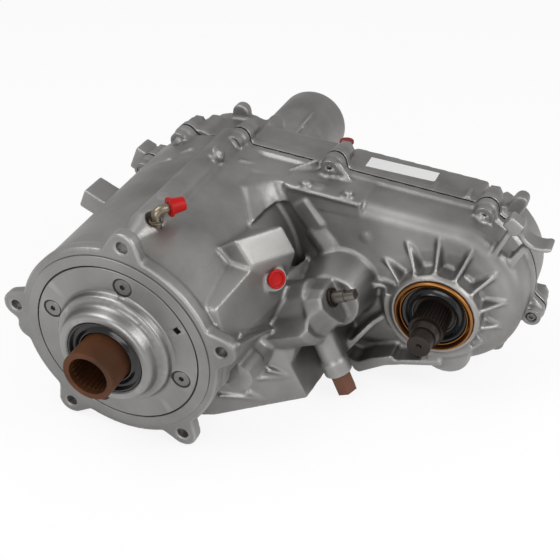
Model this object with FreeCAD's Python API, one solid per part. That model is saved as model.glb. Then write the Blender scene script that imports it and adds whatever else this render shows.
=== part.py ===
import FreeCAD, Part
import math
import os

os.makedirs("parts", exist_ok=True)
V = FreeCAD.Vector

# Part-time transfer case with a planetary low range and a chain to the front output.
# The origin is on the input axis, in the front face of the adapter flange.
# +Y runs rearwards along both shafts, +X points to the front output and +Z is up,
# with the case lying on its sump as it stands on a bench. All lengths are millimetres.

# Fits and clearances
running = 0.05        # radial, shaft in a bore that it turns or slides in
seat = 0.1            # radial, a fixed ring or plug in its bore
face_gap = 0.2        # axial, between faces that turn past each other
seated = 0.3          # between a fixed piece and the casting that holds it
tooth_play = 0.12     # taken off each tooth flank

# Chain drive
chain_pitch = 9.525
sprocket_teeth = 35
chain_links = 88
chain_width = 25.0
chain_height = 7.5
chain_mid_y = 224.0
axis_drop = math.radians(1.84)
centre_distance = (chain_links - sprocket_teeth) * chain_pitch / 2
front_x = centre_distance * math.cos(axis_drop)
front_z = -centre_distance * math.sin(axis_drop)
MAIN = (0.0, 0.0)
FRONT = (front_x, front_z)
CASE_FRONT = (front_x, front_z + 7.0)
sprocket_pitch_r = chain_pitch / (2 * math.sin(math.pi / sprocket_teeth))
sprocket_tip_r = sprocket_pitch_r + 2.6
sprocket_root_r = sprocket_pitch_r - 3.0
chain_inner_r = sprocket_tip_r + 0.4

# Adapter flange on the front case
flange_t = 12.0
pilot_h = 1.5
ear_r = 14.0
ear_hole_r = 5.5
ear_angles = (172.8, 81.6, 11.8, -55.6, -124.3)

# Input bearing retainer
retainer_r = 82.2
retainer_t = 10.0
retainer_gap = 0.6
hub_front_y = -23.6
hub_base_r = 58.0
hub_nose_r = 46.0
input_seal_r = 38.1
screw_pitch_r = 68.1
screw_angles = (160.2, 78.6, -16.9, -110.0)
screw_head_r = 8.6
screw_shank_r = 4.0

# Planetary set
module = 2.25
sun_teeth = 42
planet_teeth = 15
ring_teeth = sun_teeth + 2 * planet_teeth
planet_count = 3
planet_width = 22.0
planet_y = 40.0
planet_pin_r = 5.0
ring_body_r = module * ring_teeth / 2 + 9.0
carrier_plate_t = 4.0
carrier_r = module * ring_teeth / 2 - 4.5
planet_orbit_r = module * (sun_teeth + planet_teeth) / 2

# Input gear
input_r = 25.0
input_tip_y = -50.0
input_spline_r = 18.4
input_spline_depth = 1.2
input_spline_teeth = 26
input_mouth_r = 19.2
input_mouth_l = 6.0
bearing_w = 20.0
bearing_r = 45.0

# Clutch teeth that the range hub slides into
nose_r = 20.0
nose_teeth = 20
low_r = 38.0
low_teeth = 38
clutch_depth = 2.0
range_travel = 16.0

# Main shaft
shaft_r = 16.0
shaft_pilot_r = 12.0
shaft_mid_r = 20.0
shaft_front_y = 30.0
shaft_end_y = 452.0
shaft_end_r = 15.0
shaft_end_l = 14.0
shaft_spline_r = 17.4

# Castings
wall = 7.0
housing_wall = 11.0
case_r = ring_body_r + housing_wall
flange_r = case_r
pilot_r = case_r - 7.2
ear_pitch_r = case_r + 7.0
planet_bore_r = ring_body_r + seat
cavity_r = case_r - wall
case_front_y = 185.0
seam_y = 238.0
sealant_t = 0.8
chain_room = 8.37
chain_case_r = chain_inner_r + chain_height + chain_room + wall
chain_case_main_r = case_r - 6.0
seam_main_r = case_r - 2.0
seam_front_r = chain_case_r + 3.0
seam_t = 9.0
front_edge_fillet = 15.0
trough_r = 128.0
trough_depth = 19.0
trough_low_z = -22.0
trough_top_z = 70.0
floor_z = -105.0
rear_y = 287.0
dome_y = 300.0
tail_face_y = 340.0
tail_flange_r = 64.0

# Front output
out_face_y = 161.2
out_hub_r = 48.0
out_shoulder_r = 55.0
out_seal_r = 38.6
out_bearing_r = 40.0
out_bearing_w = 18.0
out_shaft_r = 20.0
out_spline_r = 17.3
out_spline_teeth = 32
out_tip_r = 11.2
out_tip_y = 111.3
out_rear_bearing_r = 31.0
out_rear_bearing_w = 16.0
out_rear_shaft_r = 15.0
rib_count = 12
rib_step = 26.3
rib_t = 4.0
web_t = 3.2

# Tail housing
tail_r = 43.6
tail_end_y = 500.0
tail_wall = 6.5
tail_bush_r = 24.0
tail_bush_l = 24.0
tail_seal_w = 10.0
tail_bolt_count = 6
tail_bolt_pitch_r = 55.0

# Shift sector, its shaft and the detent
sector_tilt = math.radians(24.0)
sector_x = 136.0
sector_y = 130.0
sector_z = -1.0
sector_shaft_r = 6.5
sector_plate_t = 6.0
sector_edge_r = 34.0
sector_pin_arm = 24.0
sector_sweep = 32.0
sector_tip_s = 52.0
sector_bulge_r = sector_edge_r + 9.0
lever_r = 6.0
lever_s = 30.0
lever_l = 11.0
lever_tip_r = 5.2
fork_pin_r = 4.0
fork_pin_l = 52.0
rail_r = 8.0
detent_ball_r = 5.0
detent_boss_r = 12.5
detent_end_s = 107.0

# Case bolts
case_bolt_r = 4.9
case_boss_r = 9.6
case_boss_front_y = 218.0
case_boss_rear_y = 262.0
front_bolt_r = seam_front_r + 0.5
ear_bolt_r = seam_front_r + 5.3
main_bolt_r = case_r + 3.0

SHAFT_DIR = V(math.cos(sector_tilt), 0, math.sin(sector_tilt))
DETENT_DIR = V(math.sin(sector_tilt), 0, -math.cos(sector_tilt))
SECTOR = V(sector_x, sector_y, sector_z)
RAIL = SECTOR + DETENT_DIR * sector_pin_arm - SHAFT_DIR * fork_pin_l
front_face_y = seam_y - sealant_t / 2
rear_face_y = seam_y + sealant_t / 2
recess_y = retainer_t - pilot_h
bearing_y = recess_y + seated
bearing_back_y = bearing_y + bearing_w
front_wall_y = bearing_back_y + 4.0
chain_front_y = chain_mid_y - chain_width / 2
chain_back_y = chain_mid_y + chain_width / 2
sun_face_y = planet_y
sun_back_y = planet_y + planet_width
carrier_front_y = planet_y - 0.5 - carrier_plate_t
carrier_back_y = sun_back_y + 0.5 + carrier_plate_t
drum_y = carrier_back_y + 25.0
fork_y = drum_y + 21.5
mode_r = 33.0
mode_y = 178.0
mode_fork_y = 190.0
out_rear_y = rear_y - wall - 10
bush_y = tail_end_y - tail_seal_w - tail_bush_l - 1
plug_r = 9.0
rear_port_r = 4.0
rear_port_x = 0.47 * front_x
rear_port_y = rear_y - 7
rear_port_z = 90.0
vent_r = 4.5
vent_l = 17.0
SWITCH_AT = V(115.2, 100.0, 38.6)
SWITCH_DIR = V(0.78, -0.50, 0.38)
VENT_AT = V(19.0, 55.0, case_r + 1.5)
VENT_DIR = V(0.62, 0.78, 0)


# Basic solids

def cyl(r, y0, y1, at=MAIN):
    return Part.makeCylinder(r, y1 - y0, V(at[0], y0, at[1]), V(0, 1, 0))


def cone(r0, r1, y0, y1, at=MAIN):
    return Part.makeCone(r0, r1, y1 - y0, V(at[0], y0, at[1]), V(0, 1, 0))


def ring(r_out, r_in, y0, y1, at=MAIN):
    return cyl(r_out, y0, y1, at).cut(cyl(r_in, y0 - 1, y1 + 1, at))


def rod(r, start, direction, length):
    return Part.makeCylinder(r, length, start, direction)


def box(x0, x1, y0, y1, z0, z1):
    return Part.makeBox(x1 - x0, y1 - y0, z1 - z0, V(x0, y0, z0))


def prism(points, y0, y1):
    """Closed outline of (x, z) points, drawn at y0 and extruded to y1."""
    loop = [V(x, y0, z) for x, z in points]
    face = Part.Face(Part.makePolygon(loop + loop[:1]))
    return face.extrude(V(0, y1 - y0, 0))


def loft(points_a, points_b):
    """Solid between two flat outlines that have equally many corners."""
    wires = [Part.makePolygon(list(p) + [p[0]]) for p in (points_a, points_b)]
    return Part.makeLoft(wires, True, True)


def web(a, front_a, b, front_b, back_y, t):
    """Upright rib between two (x, z) points, with its front edge at front_a and front_b."""
    dx, dz = b[0] - a[0], b[1] - a[1]
    k = t / 2 / math.hypot(dx, dz)
    ends = []
    for (x, z), front in ((a, front_a), (b, front_b)):
        ends.append([V(x - dz * k, front, z + dx * k), V(x + dz * k, front, z - dx * k),
                     V(x + dz * k, back_y, z - dx * k), V(x - dz * k, back_y, z + dx * k)])
    return loft(*ends)


def bead(r, a, b):
    """Raised round line between two points of a casting."""
    return rod(r, a, b - a, (b - a).Length)


def on_sector(s, u, w):
    """Point s along the lever shaft, u rearwards of it and w down the detent line."""
    return SECTOR + SHAFT_DIR * s + V(0, u, 0) + DETENT_DIR * w


def polar(r, angle, centre=MAIN):
    a = math.radians(angle)
    return (centre[0] + r * math.cos(a), centre[1] + r * math.sin(a))


def pill(a, ra, b, rb, y0, y1):
    """Two round ends at (x, z) joined by their common tangents."""
    dx, dz = b[0] - a[0], b[1] - a[1]
    turn = math.atan2(dz, dx)
    lean = math.acos((ra - rb) / math.hypot(dx, dz))

    def at(c, r, angle):
        return V(c[0] + r * math.cos(angle), y0, c[1] + r * math.sin(angle))

    a0, a1 = at(a, ra, turn + lean), at(a, ra, turn - lean)
    b0, b1 = at(b, rb, turn + lean), at(b, rb, turn - lean)
    edges = [
        Part.Arc(a0, at(a, ra, turn + math.pi), a1).toShape(),
        Part.LineSegment(a1, b1).toShape(),
        Part.Arc(b1, at(b, rb, turn), b0).toShape(),
        Part.LineSegment(b0, a0).toShape(),
    ]
    return Part.Face(Part.Wire(edges)).extrude(V(0, y1 - y0, 0))


def fuse(*shapes):
    solid = shapes[0]
    if len(shapes) > 1:
        solid = shapes[0].multiFuse(list(shapes[1:]))
    return solid.removeSplitter()


def hexagon(across, start, direction, length):
    """Hexagonal bar from start along direction."""
    bar = Part.Face(Part.makePolygon([
        V(across / math.sqrt(3) * math.cos(math.radians(60 * i)),
          across / math.sqrt(3) * math.sin(math.radians(60 * i)), 0)
        for i in range(7)])).extrude(V(0, 0, length))
    bar.Placement = FreeCAD.Placement(start, FreeCAD.Rotation(V(0, 0, 1), direction))
    return bar


def save(name, shape):
    shape.exportStep("parts/" + name + ".step")


# Teeth

def toothed(count, r_root, r_tip, root_share, tip_share, y0, y1, at=MAIN, turn=0.0):
    """Straight-flanked teeth, with each share the part of the pitch that the tooth fills."""
    step = 2 * math.pi / count
    points = []
    for i in range(count):
        mid = turn + i * step
        for r, half in ((r_root, -root_share), (r_tip, -tip_share),
                        (r_tip, tip_share), (r_root, root_share)):
            angle = mid + half * step / 2
            points.append((at[0] + r * math.cos(angle), at[1] + r * math.sin(angle)))
    return prism(points, y0, y1)


def involute_half_angle(r, count, internal):
    """Half the angle that a gear's tooth fills at radius r, less its play."""
    pressure = math.radians(20)
    pitch_r = module * count / 2
    base_r = pitch_r * math.cos(pressure)
    at_r = math.acos(min(1.0, base_r / r))
    change = (math.tan(pressure) - pressure) - (math.tan(at_r) - at_r)
    if internal:
        change = -change
    return math.pi / (2 * count) + change - tooth_play / r


def gear(count, y0, y1, at=MAIN, turn=0.0):
    """External spur gear with involute flanks in two straight steps."""
    pitch_r = module * count / 2
    levels = (pitch_r - 1.2 * module, pitch_r - 0.55 * module, pitch_r, pitch_r + 0.92 * module)
    points = []
    for i in range(count):
        mid = turn + 2 * math.pi * i / count
        halves = [involute_half_angle(r, count, False) for r in levels]
        halves[0] = halves[1] * 1.05
        rising = list(zip(levels, [-h for h in halves]))
        falling = list(zip(levels, halves))[::-1]
        for r, half in rising + falling:
            points.append((at[0] + r * math.cos(mid + half), at[1] + r * math.sin(mid + half)))
    return prism(points, y0, y1)


def ring_gear_cut(count, y0, y1, turn=0.0):
    """The space inside an internal gear, with its teeth left standing."""
    pitch_r = module * count / 2
    levels = (pitch_r - 0.9 * module, pitch_r, pitch_r + 1.2 * module)
    points = []
    for i in range(count):
        mid = turn + 2 * math.pi * i / count
        halves = [involute_half_angle(r, count, True) for r in levels]
        for r, half in reversed(list(zip(levels, [-h for h in halves]))):
            points.append((r * math.cos(mid + half), r * math.sin(mid + half)))
        for r, half in zip(levels, halves):
            points.append((r * math.cos(mid + half), r * math.sin(mid + half)))
    return prism(points, y0, y1)


# Front case

def bolt_places():
    """Centres (x, z) of the bolts that hold the two castings together."""
    places = [polar(front_bolt_r, a, CASE_FRONT) for a in (72.0, -50.0, -90.0)]
    places.append(polar(ear_bolt_r, -15.0, CASE_FRONT))
    places += [polar(main_bolt_r, a) for a in (80.0, 115.0, 151.0, 187.0, 222.0)]
    top_mid = (0.486 * front_x, seam_main_r - 3.0)
    low_mid = (0.5 * front_x, -seam_front_r - 6.0)
    return places + [top_mid, low_mid]


def seam_outline(y0, y1):
    """The joint face that both castings share, with a lobe at each bolt."""
    solid = pill(MAIN, seam_main_r, CASE_FRONT, seam_front_r, y0, y1)
    lobes = [cyl(case_boss_r + 1.5, y0, y1, p) for p in bolt_places()]
    roots = []
    for x, z in bolt_places():
        near = CASE_FRONT if x > front_x / 2 + 5 else MAIN
        inner = (x + (near[0] - x) * 0.28, z + (near[1] - z) * 0.28)
        if abs(x - front_x / 2) < front_x / 5:
            inner = (x, z * 0.6)
        roots.append(pill((x, z), case_boss_r + 1.5, inner, 2.2 * case_boss_r, y0, y1))
    return fuse(solid, *(lobes + roots))


def case_bosses(y0, y1):
    return [cyl(case_boss_r, y0, y1, p) for p in bolt_places()]


def adapter_flange():
    parts = [cyl(flange_r, 0, flange_t), cyl(pilot_r, -pilot_h, 1)]
    for a in ear_angles:
        parts.append(pill(polar(ear_pitch_r, a), ear_r, polar(70.0, a), 30.0, 0, flange_t))
    parts.append(pill(polar(98.0, 186.0), 12.0, polar(70.0, 184.0), 22.0, 0, flange_t))
    return parts


def planet_housing():
    """Round housing behind the flange, with the long oil ridge along its top."""
    body = cone(case_r - 1.5, case_r + 2.5, 1, seam_y - seam_t + 1)
    ridge_x = 0.08 * case_r
    ridge = cyl(15.5, 52, front_face_y, (ridge_x, case_r - 5.5))
    ridge_nose = cone(6.0, 15.5, 20, 53, (ridge_x, case_r - 5.5))
    ridge_root = box(ridge_x - 15.5, ridge_x + 15.5, 52, front_face_y, case_r - 30, case_r - 5.5)
    ball = Part.makeSphere(9.0, V(ridge_x + 5, 182, case_r + 3.5))
    line = bead(2.4, V(case_r + 3, 30, 10), V(case_r + 3, 103, -26))
    return [body, ridge, ridge_nose, ridge_root, ball, line]


def trough_ring(offset):
    """Ring round the main axis whose cone falls from the chain case's front wall."""
    root_r = case_r + 2.6 - offset
    low_y = case_front_y + trough_depth + offset
    rim_r = trough_r + offset
    front = case_front_y - 2 * offset - 2
    points = [V(root_r, front, 0), V(rim_r + 2 + 2 * offset, front, 0), V(rim_r, case_front_y, 0),
              V(rim_r - low_y + case_front_y, low_y, 0), V(root_r, low_y, 0)]
    face = Part.Face(Part.makePolygon(points + points[:1]))
    turned = face.revolve(V(0, 0, 0), V(0, 1, 0), 360)
    return turned.common(box(40, 160, 150, 230, trough_low_z - offset, trough_top_z + offset))


def chain_case():
    """Flat chain housing that reaches across to the front output, with its top pad and ledge."""
    slab = pill(MAIN, chain_case_main_r, CASE_FRONT, chain_case_r, case_front_y, front_face_y)
    edges = [e for e in slab.Edges if abs(e.BoundBox.YMax - case_front_y) < 0.01
             and abs(e.BoundBox.YMin - case_front_y) < 0.01]
    slab = slab.makeFillet(front_edge_fillet, edges).cut(trough_ring(0.0))
    top_z = chain_case_main_r - 4.6
    pad = prism([(88, 70), (88, top_z), (167, top_z - 5.2), (167, 70)],
                case_front_y - 0.4, front_face_y - seam_t + 1)
    ledge = loft([V(60, 133, 71), V(78, 133, 71), V(80, 160, 71), V(84, 178, 71),
                  V(96, 187, 71), V(125, 187, 71), V(125, 200, 71), V(60, 200, 71)],
                 [V(40, 165, 90), V(58, 165, 90), V(66, 178, 90), V(78, 187, 90),
                  V(96, 190, 90), V(125, 190, 90), V(125, 200, 90), V(40, 200, 90)])
    parts = [slab, pad, ledge]
    for x, z in ((109, top_z - 7), (151, top_z - 9)):
        parts.append(rod(5.0, V(x, case_front_y + 7, z), V(0, 0, 1), 9))
    return parts


def bottom_lip():
    """Rib and lobe that run under the chain case, and the braces up to its hub."""
    back = front_face_y - seam_t + 1
    low = [(178, -100), (206, -82), (225, -75), (265, -64)]
    parts = [web(a, 163, b, 163, back, 6.0) for a, b in zip(low, low[1:])]
    parts.append(cyl(25.0, 168, back, (266, -52)))
    curve = [(214, -19, 178), (189, -43, 172), (166, -73, 157), (154, -97, 150)]
    for a, b in zip(curve, curve[1:]):
        parts.append(web(a[:2], a[2], b[:2], b[2], case_front_y + 3, 6.0))
    parts.append(web((172, -7), 174, (188, 1), 176, case_front_y + 3, 5.0))
    parts.append(web((187, 1), 176, (214, 4), 178, case_front_y + 3, 5.0))
    return parts


def boss_gussets():
    """Thin webs that run from the bolt bosses to the casting's wall."""
    back = front_face_y - seam_t + 1
    parts = []
    for i, spread in ((0, 18.0), (9, 20.0)):
        x, z = bolt_places()[i]
        near = CASE_FRONT if i < 9 else (x, 0.0)
        ax, az = x - near[0], z - near[1]
        k = spread / math.hypot(ax, az)
        for side in (-1, 1):
            foot = (x - ax * 0.13 - side * az * k, z - az * 0.13 + side * ax * k)
            parts.append(web((x, z), case_boss_front_y - 4, foot, case_boss_front_y + 8,
                             back, web_t))
    return parts


def output_hub():
    """Nose round the front output, with its shoulder and radial ribs."""
    nose = cone(out_hub_r, out_hub_r + 1.5, out_face_y, out_face_y + 8, FRONT)
    shoulder = cone(out_shoulder_r - 4, out_shoulder_r + 1, out_face_y + 4, case_front_y - 6, FRONT)
    root = cone(out_shoulder_r + 1, out_shoulder_r + 6, case_front_y - 7, case_front_y + 1, FRONT)
    parts = [nose, shoulder, root]
    for i in range(rib_count):
        angle = 148.0 - i * rib_step
        lean = math.cos(math.radians(angle - 95.0))
        tip_r = out_shoulder_r + (5.0 + 11.0 * lean if angle > -50 else 6.5)
        fin = Part.Face(Part.makePolygon([
            V(out_hub_r - 3, out_face_y + 4, -rib_t / 2), V(tip_r, case_front_y, -rib_t / 2),
            V(tip_r - 2, case_front_y + 4, -rib_t / 2), V(out_hub_r - 3, case_front_y + 4, -rib_t / 2),
            V(out_hub_r - 3, out_face_y + 4, -rib_t / 2)])).extrude(V(0, 0, rib_t))
        fin.rotate(V(0, 0, 0), V(0, 1, 0), -angle)
        fin.translate(V(front_x, 0, front_z))
        parts.append(fin)
    return parts


def sump():
    """Faceted oil sump that the case stands on."""
    top_z = -18.0
    top = [V(0, 30, top_z), V(70, 40, top_z), V(92, 68, top_z), V(108, 100, top_z),
           V(118, 160, top_z), V(118, front_face_y, top_z), V(0, front_face_y, top_z)]
    low = [V(0, 48, floor_z), V(55, 44, floor_z), V(70, 50, floor_z), V(145, 109, floor_z),
           V(148, 154, floor_z), V(160, front_face_y, floor_z), V(0, front_face_y, floor_z)]
    block = loft(top, low)
    cap = loft([V(p.x * 0.7, p.y + 12, top_z + 24) if p.y < 200 else V(p.x * 0.7, p.y, top_z + 24)
                for p in top], top)
    left = loft([V(0, 60, -60), V(-60, 60, -60), V(-75, front_face_y, -60), V(0, front_face_y, -60)],
                [V(0, 60, floor_z), V(-30, 60, floor_z), V(-40, front_face_y, floor_z),
                 V(0, front_face_y, floor_z)])
    return [block, cap, left]


def switch_pad():
    """Flat pad on the housing's right side that carries the indicator switch port."""
    strip = loft([V(50, 18, 62), V(93, 18, 52), V(103, 18, 12), V(97, 18, -34), V(50, 18, -34)],
                 [V(50, 122, 70), V(108, 122, 66), V(117, 122, 8), V(100, 122, -38), V(50, 122, -38)])
    block = loft([V(45, 76, 60), V(86, 76, 88), V(102, 76, 64), V(98, 76, 36), V(45, 76, 20)],
                 [V(45, 124, 60), V(112, 124, 82), V(126, 124, 57), V(113, 124, 10), V(45, 124, 0)])
    d = V(SWITCH_DIR)
    d.normalize()
    port = Part.makeCone(20.0, 12.0, 28, SWITCH_AT - d * 28, d)
    return [strip, block, port]


def sector_wedge(apex_w, front, rear):
    """Wedge round the space that the plate sweeps, between two angles from the detent line."""
    corners = [V(-70, 0, -apex_w)]
    for angle, reach in ((front, 90.0), ((front + rear) / 2, 130.0), (rear, 90.0)):
        a = math.radians(angle)
        corners.append(V(-70, reach * math.sin(a), -apex_w - reach * math.cos(a)))
    wedge = Part.Face(Part.makePolygon(corners + corners[:1])).extrude(V(90, 0, 0))
    wedge.Placement = sector_place()
    return wedge


def sector_housing():
    """Bulge round the shift sector, the plate that its shaft leaves by, and the detent boss."""
    bulge = rod(sector_bulge_r, SECTOR - SHAFT_DIR * 60, SHAFT_DIR, 63).fuse(
        Part.makeCone(sector_bulge_r, sector_bulge_r - 5, 6, SECTOR + SHAFT_DIR * 3, SHAFT_DIR))
    bulge = bulge.common(sector_wedge(-13.0, -56.0, 72.0))
    collar_hub = rod(22.0, SECTOR - SHAFT_DIR * 60, SHAFT_DIR, 68)
    base = [(40, -14), (13, -17), (-5, -17), (-20, -11), (-27, 5), (-23, 24), (-9, 37), (14, 38),
            (36, 30)]
    face = [(30, -12), (12, -13), (-8, -14), (-19, -10), (-22, -1), (-14, 12), (-5, 25), (3, 33),
            (27, 27)]
    plate = loft([on_sector(7, u, w) for u, w in base], [on_sector(25.5, u, w) for u, w in face])
    boss = rod(13.0, SECTOR, SHAFT_DIR, 26)
    hump = cone(30, 38, 146, case_front_y + 3, (152, -8))
    tube = rod(detent_boss_r, SECTOR + DETENT_DIR * 20, DETENT_DIR, 62)
    collar = rod(detent_boss_r + 2, SECTOR + DETENT_DIR * 68, DETENT_DIR, 16)
    rib = box(-web_t, web_t, -1, case_front_y - sector_y + 4, -78, -30)
    rib.Placement = sector_place()
    return [bulge, collar_hub, plate, boss, hump, tube, collar, rib]


def rail_boss():
    at = (RAIL.x, RAIL.z)
    return [cyl(14.5, 44, 120, at), pill(at, 15.5, (at[0] - 26, at[1] + 12), 20.0, 66, front_face_y)]


def harness_arms():
    """Two arms on the chain case that carry the wiring and the vent hose."""
    block = box(-8, 8, 188, 203, -6, 7)
    block.rotate(V(0, 0, 0), V(0, 1, 0), 35)
    block.translate(V(front_x + 58, 0, front_z + 98))
    leg = loft([V(front_x + 36, 185, front_z + 50), V(front_x + 40, 185, front_z + 46),
                V(front_x + 40, 196, front_z + 46), V(front_x + 36, 196, front_z + 50)],
               [V(front_x + 55, 189, front_z + 97), V(front_x + 60, 189, front_z + 94),
                V(front_x + 60, 200, front_z + 94), V(front_x + 55, 200, front_z + 97)])
    leg2 = loft([V(front_x + 52, 192, front_z + 50), V(front_x + 58, 192, front_z + 45),
                 V(front_x + 58, 206, front_z + 45), V(front_x + 52, 206, front_z + 50)],
                [V(front_x + 72, 194, front_z + 84), V(front_x + 77, 194, front_z + 80),
                 V(front_x + 77, 206, front_z + 80), V(front_x + 72, 206, front_z + 84)])
    saddle_at = (front_x + 84, front_z + 98)
    keep = box(-30, 30, 189, 213, -30, -9)
    keep.rotate(V(0, 0, 0), V(0, 1, 0), 32)
    keep.translate(V(saddle_at[0], 0, saddle_at[1]))
    return [block, leg, leg2, ring(22.0, 17.5, 190, 212, saddle_at).common(keep)]


def left_lug():
    """Square mounting lug on the left shoulder of the housing."""
    block = box(-16, 20, 140, 172, -11, 11)
    block.rotate(V(0, 0, 0), V(0, 1, 0), -156)
    x, z = polar(case_r + 8, 156)
    block.translate(V(x, 0, z))
    return [block]


def front_cavities():
    """Everything that is hollow in the front case."""
    cuts = [
        cyl(retainer_r + retainer_gap, -pilot_h - 1, recess_y),
        cyl(bearing_r + seat, recess_y - 1, bearing_back_y),
        cyl(bearing_r - 4, recess_y, front_wall_y + 1),
        cyl(planet_bore_r, front_wall_y, case_front_y + wall),
        cyl(cavity_r, sun_back_y + 8, front_face_y + 1),
        ring(ring_body_r + 2.5, ring_body_r - 2, sun_back_y + 2.4, sun_back_y + 5.0),
        pill(MAIN, chain_case_main_r - wall, CASE_FRONT, chain_case_r - wall,
             case_front_y + wall, front_face_y + 1).cut(trough_ring(wall)),
        cyl(out_bearing_r + seat, out_face_y + 11, case_front_y + wall + 1, FRONT),
        cyl(out_seal_r + seat, out_face_y - 1, out_face_y + 12, FRONT),
        cyl(rail_r + running, 52, 80, (RAIL.x, RAIL.z)),
        pill((RAIL.x, RAIL.z), 13.5, (RAIL.x - 30, RAIL.z + 16), 15.0, 74, front_face_y + 1),
        rod(sector_edge_r + 3, SECTOR - SHAFT_DIR * 58, SHAFT_DIR, 62).common(
            sector_wedge(-4.0, -52.0, 62.0)),
        rod(17.0, SECTOR - SHAFT_DIR * 58, SHAFT_DIR, 62),
        rod(sector_shaft_r + running, SECTOR - SHAFT_DIR * 5, SHAFT_DIR, 60),
        rod(detent_ball_r + running, SECTOR + DETENT_DIR * (sector_edge_r - 4), DETENT_DIR, 60),
    ]
    for a in ear_angles:
        cuts.append(cyl(ear_hole_r, -2, flange_t + 1, polar(ear_pitch_r, a)))
    for a in screw_angles:
        cuts.append(cyl(screw_shank_r + seat, recess_y - 1, recess_y + 15, polar(screw_pitch_r, a)))
    for p in bolt_places():
        cuts.append(cyl(case_bolt_r + seat, case_boss_front_y - 1, front_face_y + 1, p))
    cuts.append(switch_port(cavity=True))
    cuts.append(rod(vent_r + seat, VENT_AT - V(0, 0, 20), V(0, 0, 1), 40))
    cuts.append(rod(2 * vent_r, VENT_AT, V(0, 0, 1), 40))
    cuts.append(rod(vent_r + 3, VENT_AT + V(0, 0, 10), VENT_DIR, 40))
    cuts.append(sump_hollow())
    return cuts


def sump_hollow():
    """Oil space inside the sump, open to the housing above it."""
    top_z, low_z = -18.0, floor_z + wall
    top = [V(0, 66, top_z), V(60, 66, top_z), V(82, 82, top_z), V(99, 104, top_z),
           V(109, 160, top_z), V(109, front_face_y + 1, top_z), V(0, front_face_y + 1, top_z)]
    low = [V(0, 66, low_z), V(48, 66, low_z), V(72, 70, low_z), V(135, 116, low_z),
           V(139, 156, low_z), V(148, front_face_y + 1, low_z), V(0, front_face_y + 1, low_z)]
    return loft(top, low)


def switch_port(cavity=False):
    d = V(SWITCH_DIR)
    d.normalize()
    if cavity:
        return rod(5.2, SWITCH_AT - d * 40, d, 60)
    plug = rod(7.0, SWITCH_AT + d * 0.3, d, 3.2).fuse(rod(5.0, SWITCH_AT - d * 9, d, 10))
    return plug.removeSplitter()


def front_case():
    outside = adapter_flange() + planet_housing() + chain_case() + output_hub() + sump()
    outside += bottom_lip() + boss_gussets() + switch_pad() + sector_housing()
    outside += rail_boss() + harness_arms() + left_lug()
    outside += [seam_outline(front_face_y - seam_t, front_face_y)]
    outside += case_bosses(case_boss_front_y, front_face_y)
    trim = box(-250, 450, -60, 600, floor_z - 60, floor_z)
    solid = fuse(*outside).cut(trim)
    for cut in front_cavities():
        solid = solid.cut(cut)
    return solid.removeSplitter()


# Rear case

def rear_case():
    outside = [
        seam_outline(rear_face_y, rear_face_y + seam_t),
        pill(MAIN, seam_main_r - 1.5, CASE_FRONT, seam_front_r - 1.5, rear_face_y, rear_y),
        cyl(case_r - 3, rear_face_y, dome_y),
        cone(case_r - 3, tail_flange_r + 4, dome_y, tail_face_y - 12),
        cyl(tail_flange_r, dome_y, tail_face_y),
        cone(out_rear_bearing_r + 22, out_rear_bearing_r + 12, rear_y - 1, rear_y + 9, FRONT),
        cyl(rail_r + 5, rear_y - 1, rear_y + 6, (RAIL.x, RAIL.z)),
        box(-45, 158, rear_face_y, rear_y - 8, floor_z, -80),
        pill((-45, 86), 13.0, (-28, 88), 12.5, rear_face_y, rear_y - 6),
        pill((-4, case_r + 4), 9.0, (-4, 70), 12.0, 284, 296),
        pill((28, 88), 9.5, (20, 60), 14.0, rear_y, tail_face_y - 28),
    ]
    outside += case_bosses(rear_face_y, case_boss_rear_y)
    for a in (40, 140, 220, 320):
        outside.append(tail_rib(a))
    outside += rear_lugs()
    cuts = [
        pill(MAIN, chain_case_main_r - wall, CASE_FRONT, chain_case_r - wall,
             rear_face_y - 1, rear_y - wall),
        cyl(out_bearing_r + 4, rear_y - wall - 1, dome_y + 1),
        cyl(out_bearing_r + seat, dome_y, dome_y + out_bearing_w + seated),
        cyl(out_bearing_r - 5, dome_y, tail_face_y + 1),
        cyl(out_rear_bearing_r + seat, rear_y - wall - 12, rear_y + 3, FRONT),
        cyl(rail_r + running, rear_y - wall - 12, rear_y, (RAIL.x, RAIL.z)),
        rod(rear_port_r, V(rear_port_x, rear_port_y, 75), V(0, 0, 1), 40),
    ]
    sockets = [
        cyl(out_rear_bearing_r + 5, rear_y - wall - 10, rear_y - 1, FRONT),
        cyl(rail_r + 4, rear_y - wall - 12, rear_y - 1, (RAIL.x, RAIL.z)),
    ]
    for p in bolt_places():
        cuts.append(cyl(case_bolt_r + seat, rear_face_y - 1, case_boss_rear_y + 1, p))
        cuts.append(cyl(case_boss_r + 0.4, case_boss_rear_y, rear_y + 20, p))
    for p in tail_bolt_places():
        cuts.append(cyl(case_bolt_r + seat, tail_face_y - 18, tail_face_y + 1, p))
    for p in plug_places():
        cuts.append(cyl(plug_r + seat, rear_y - wall - 1, rear_y + 1, p))
    trim = box(-250, 450, 200, 600, floor_z - 60, floor_z)
    solid = fuse(*outside).cut(trim).cut(cuts[0])
    solid = fuse(solid, *sockets)
    for cut in cuts[1:]:
        solid = solid.cut(cut)
    return solid.removeSplitter()


def tail_rib(angle):
    """Web along the rear dome that stiffens the tail flange."""
    fin = Part.Face(Part.makePolygon([
        V(tail_flange_r - 8, rear_y - 2, -2.5), V(case_r - 4, rear_y - 2, -2.5),
        V(tail_flange_r - 1, tail_face_y - 3, -2.5), V(tail_flange_r - 8, tail_face_y - 3, -2.5),
        V(tail_flange_r - 8, rear_y - 2, -2.5)])).extrude(V(0, 0, 5))
    fin.rotate(V(0, 0, 0), V(0, 1, 0), -angle)
    return fin


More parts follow.
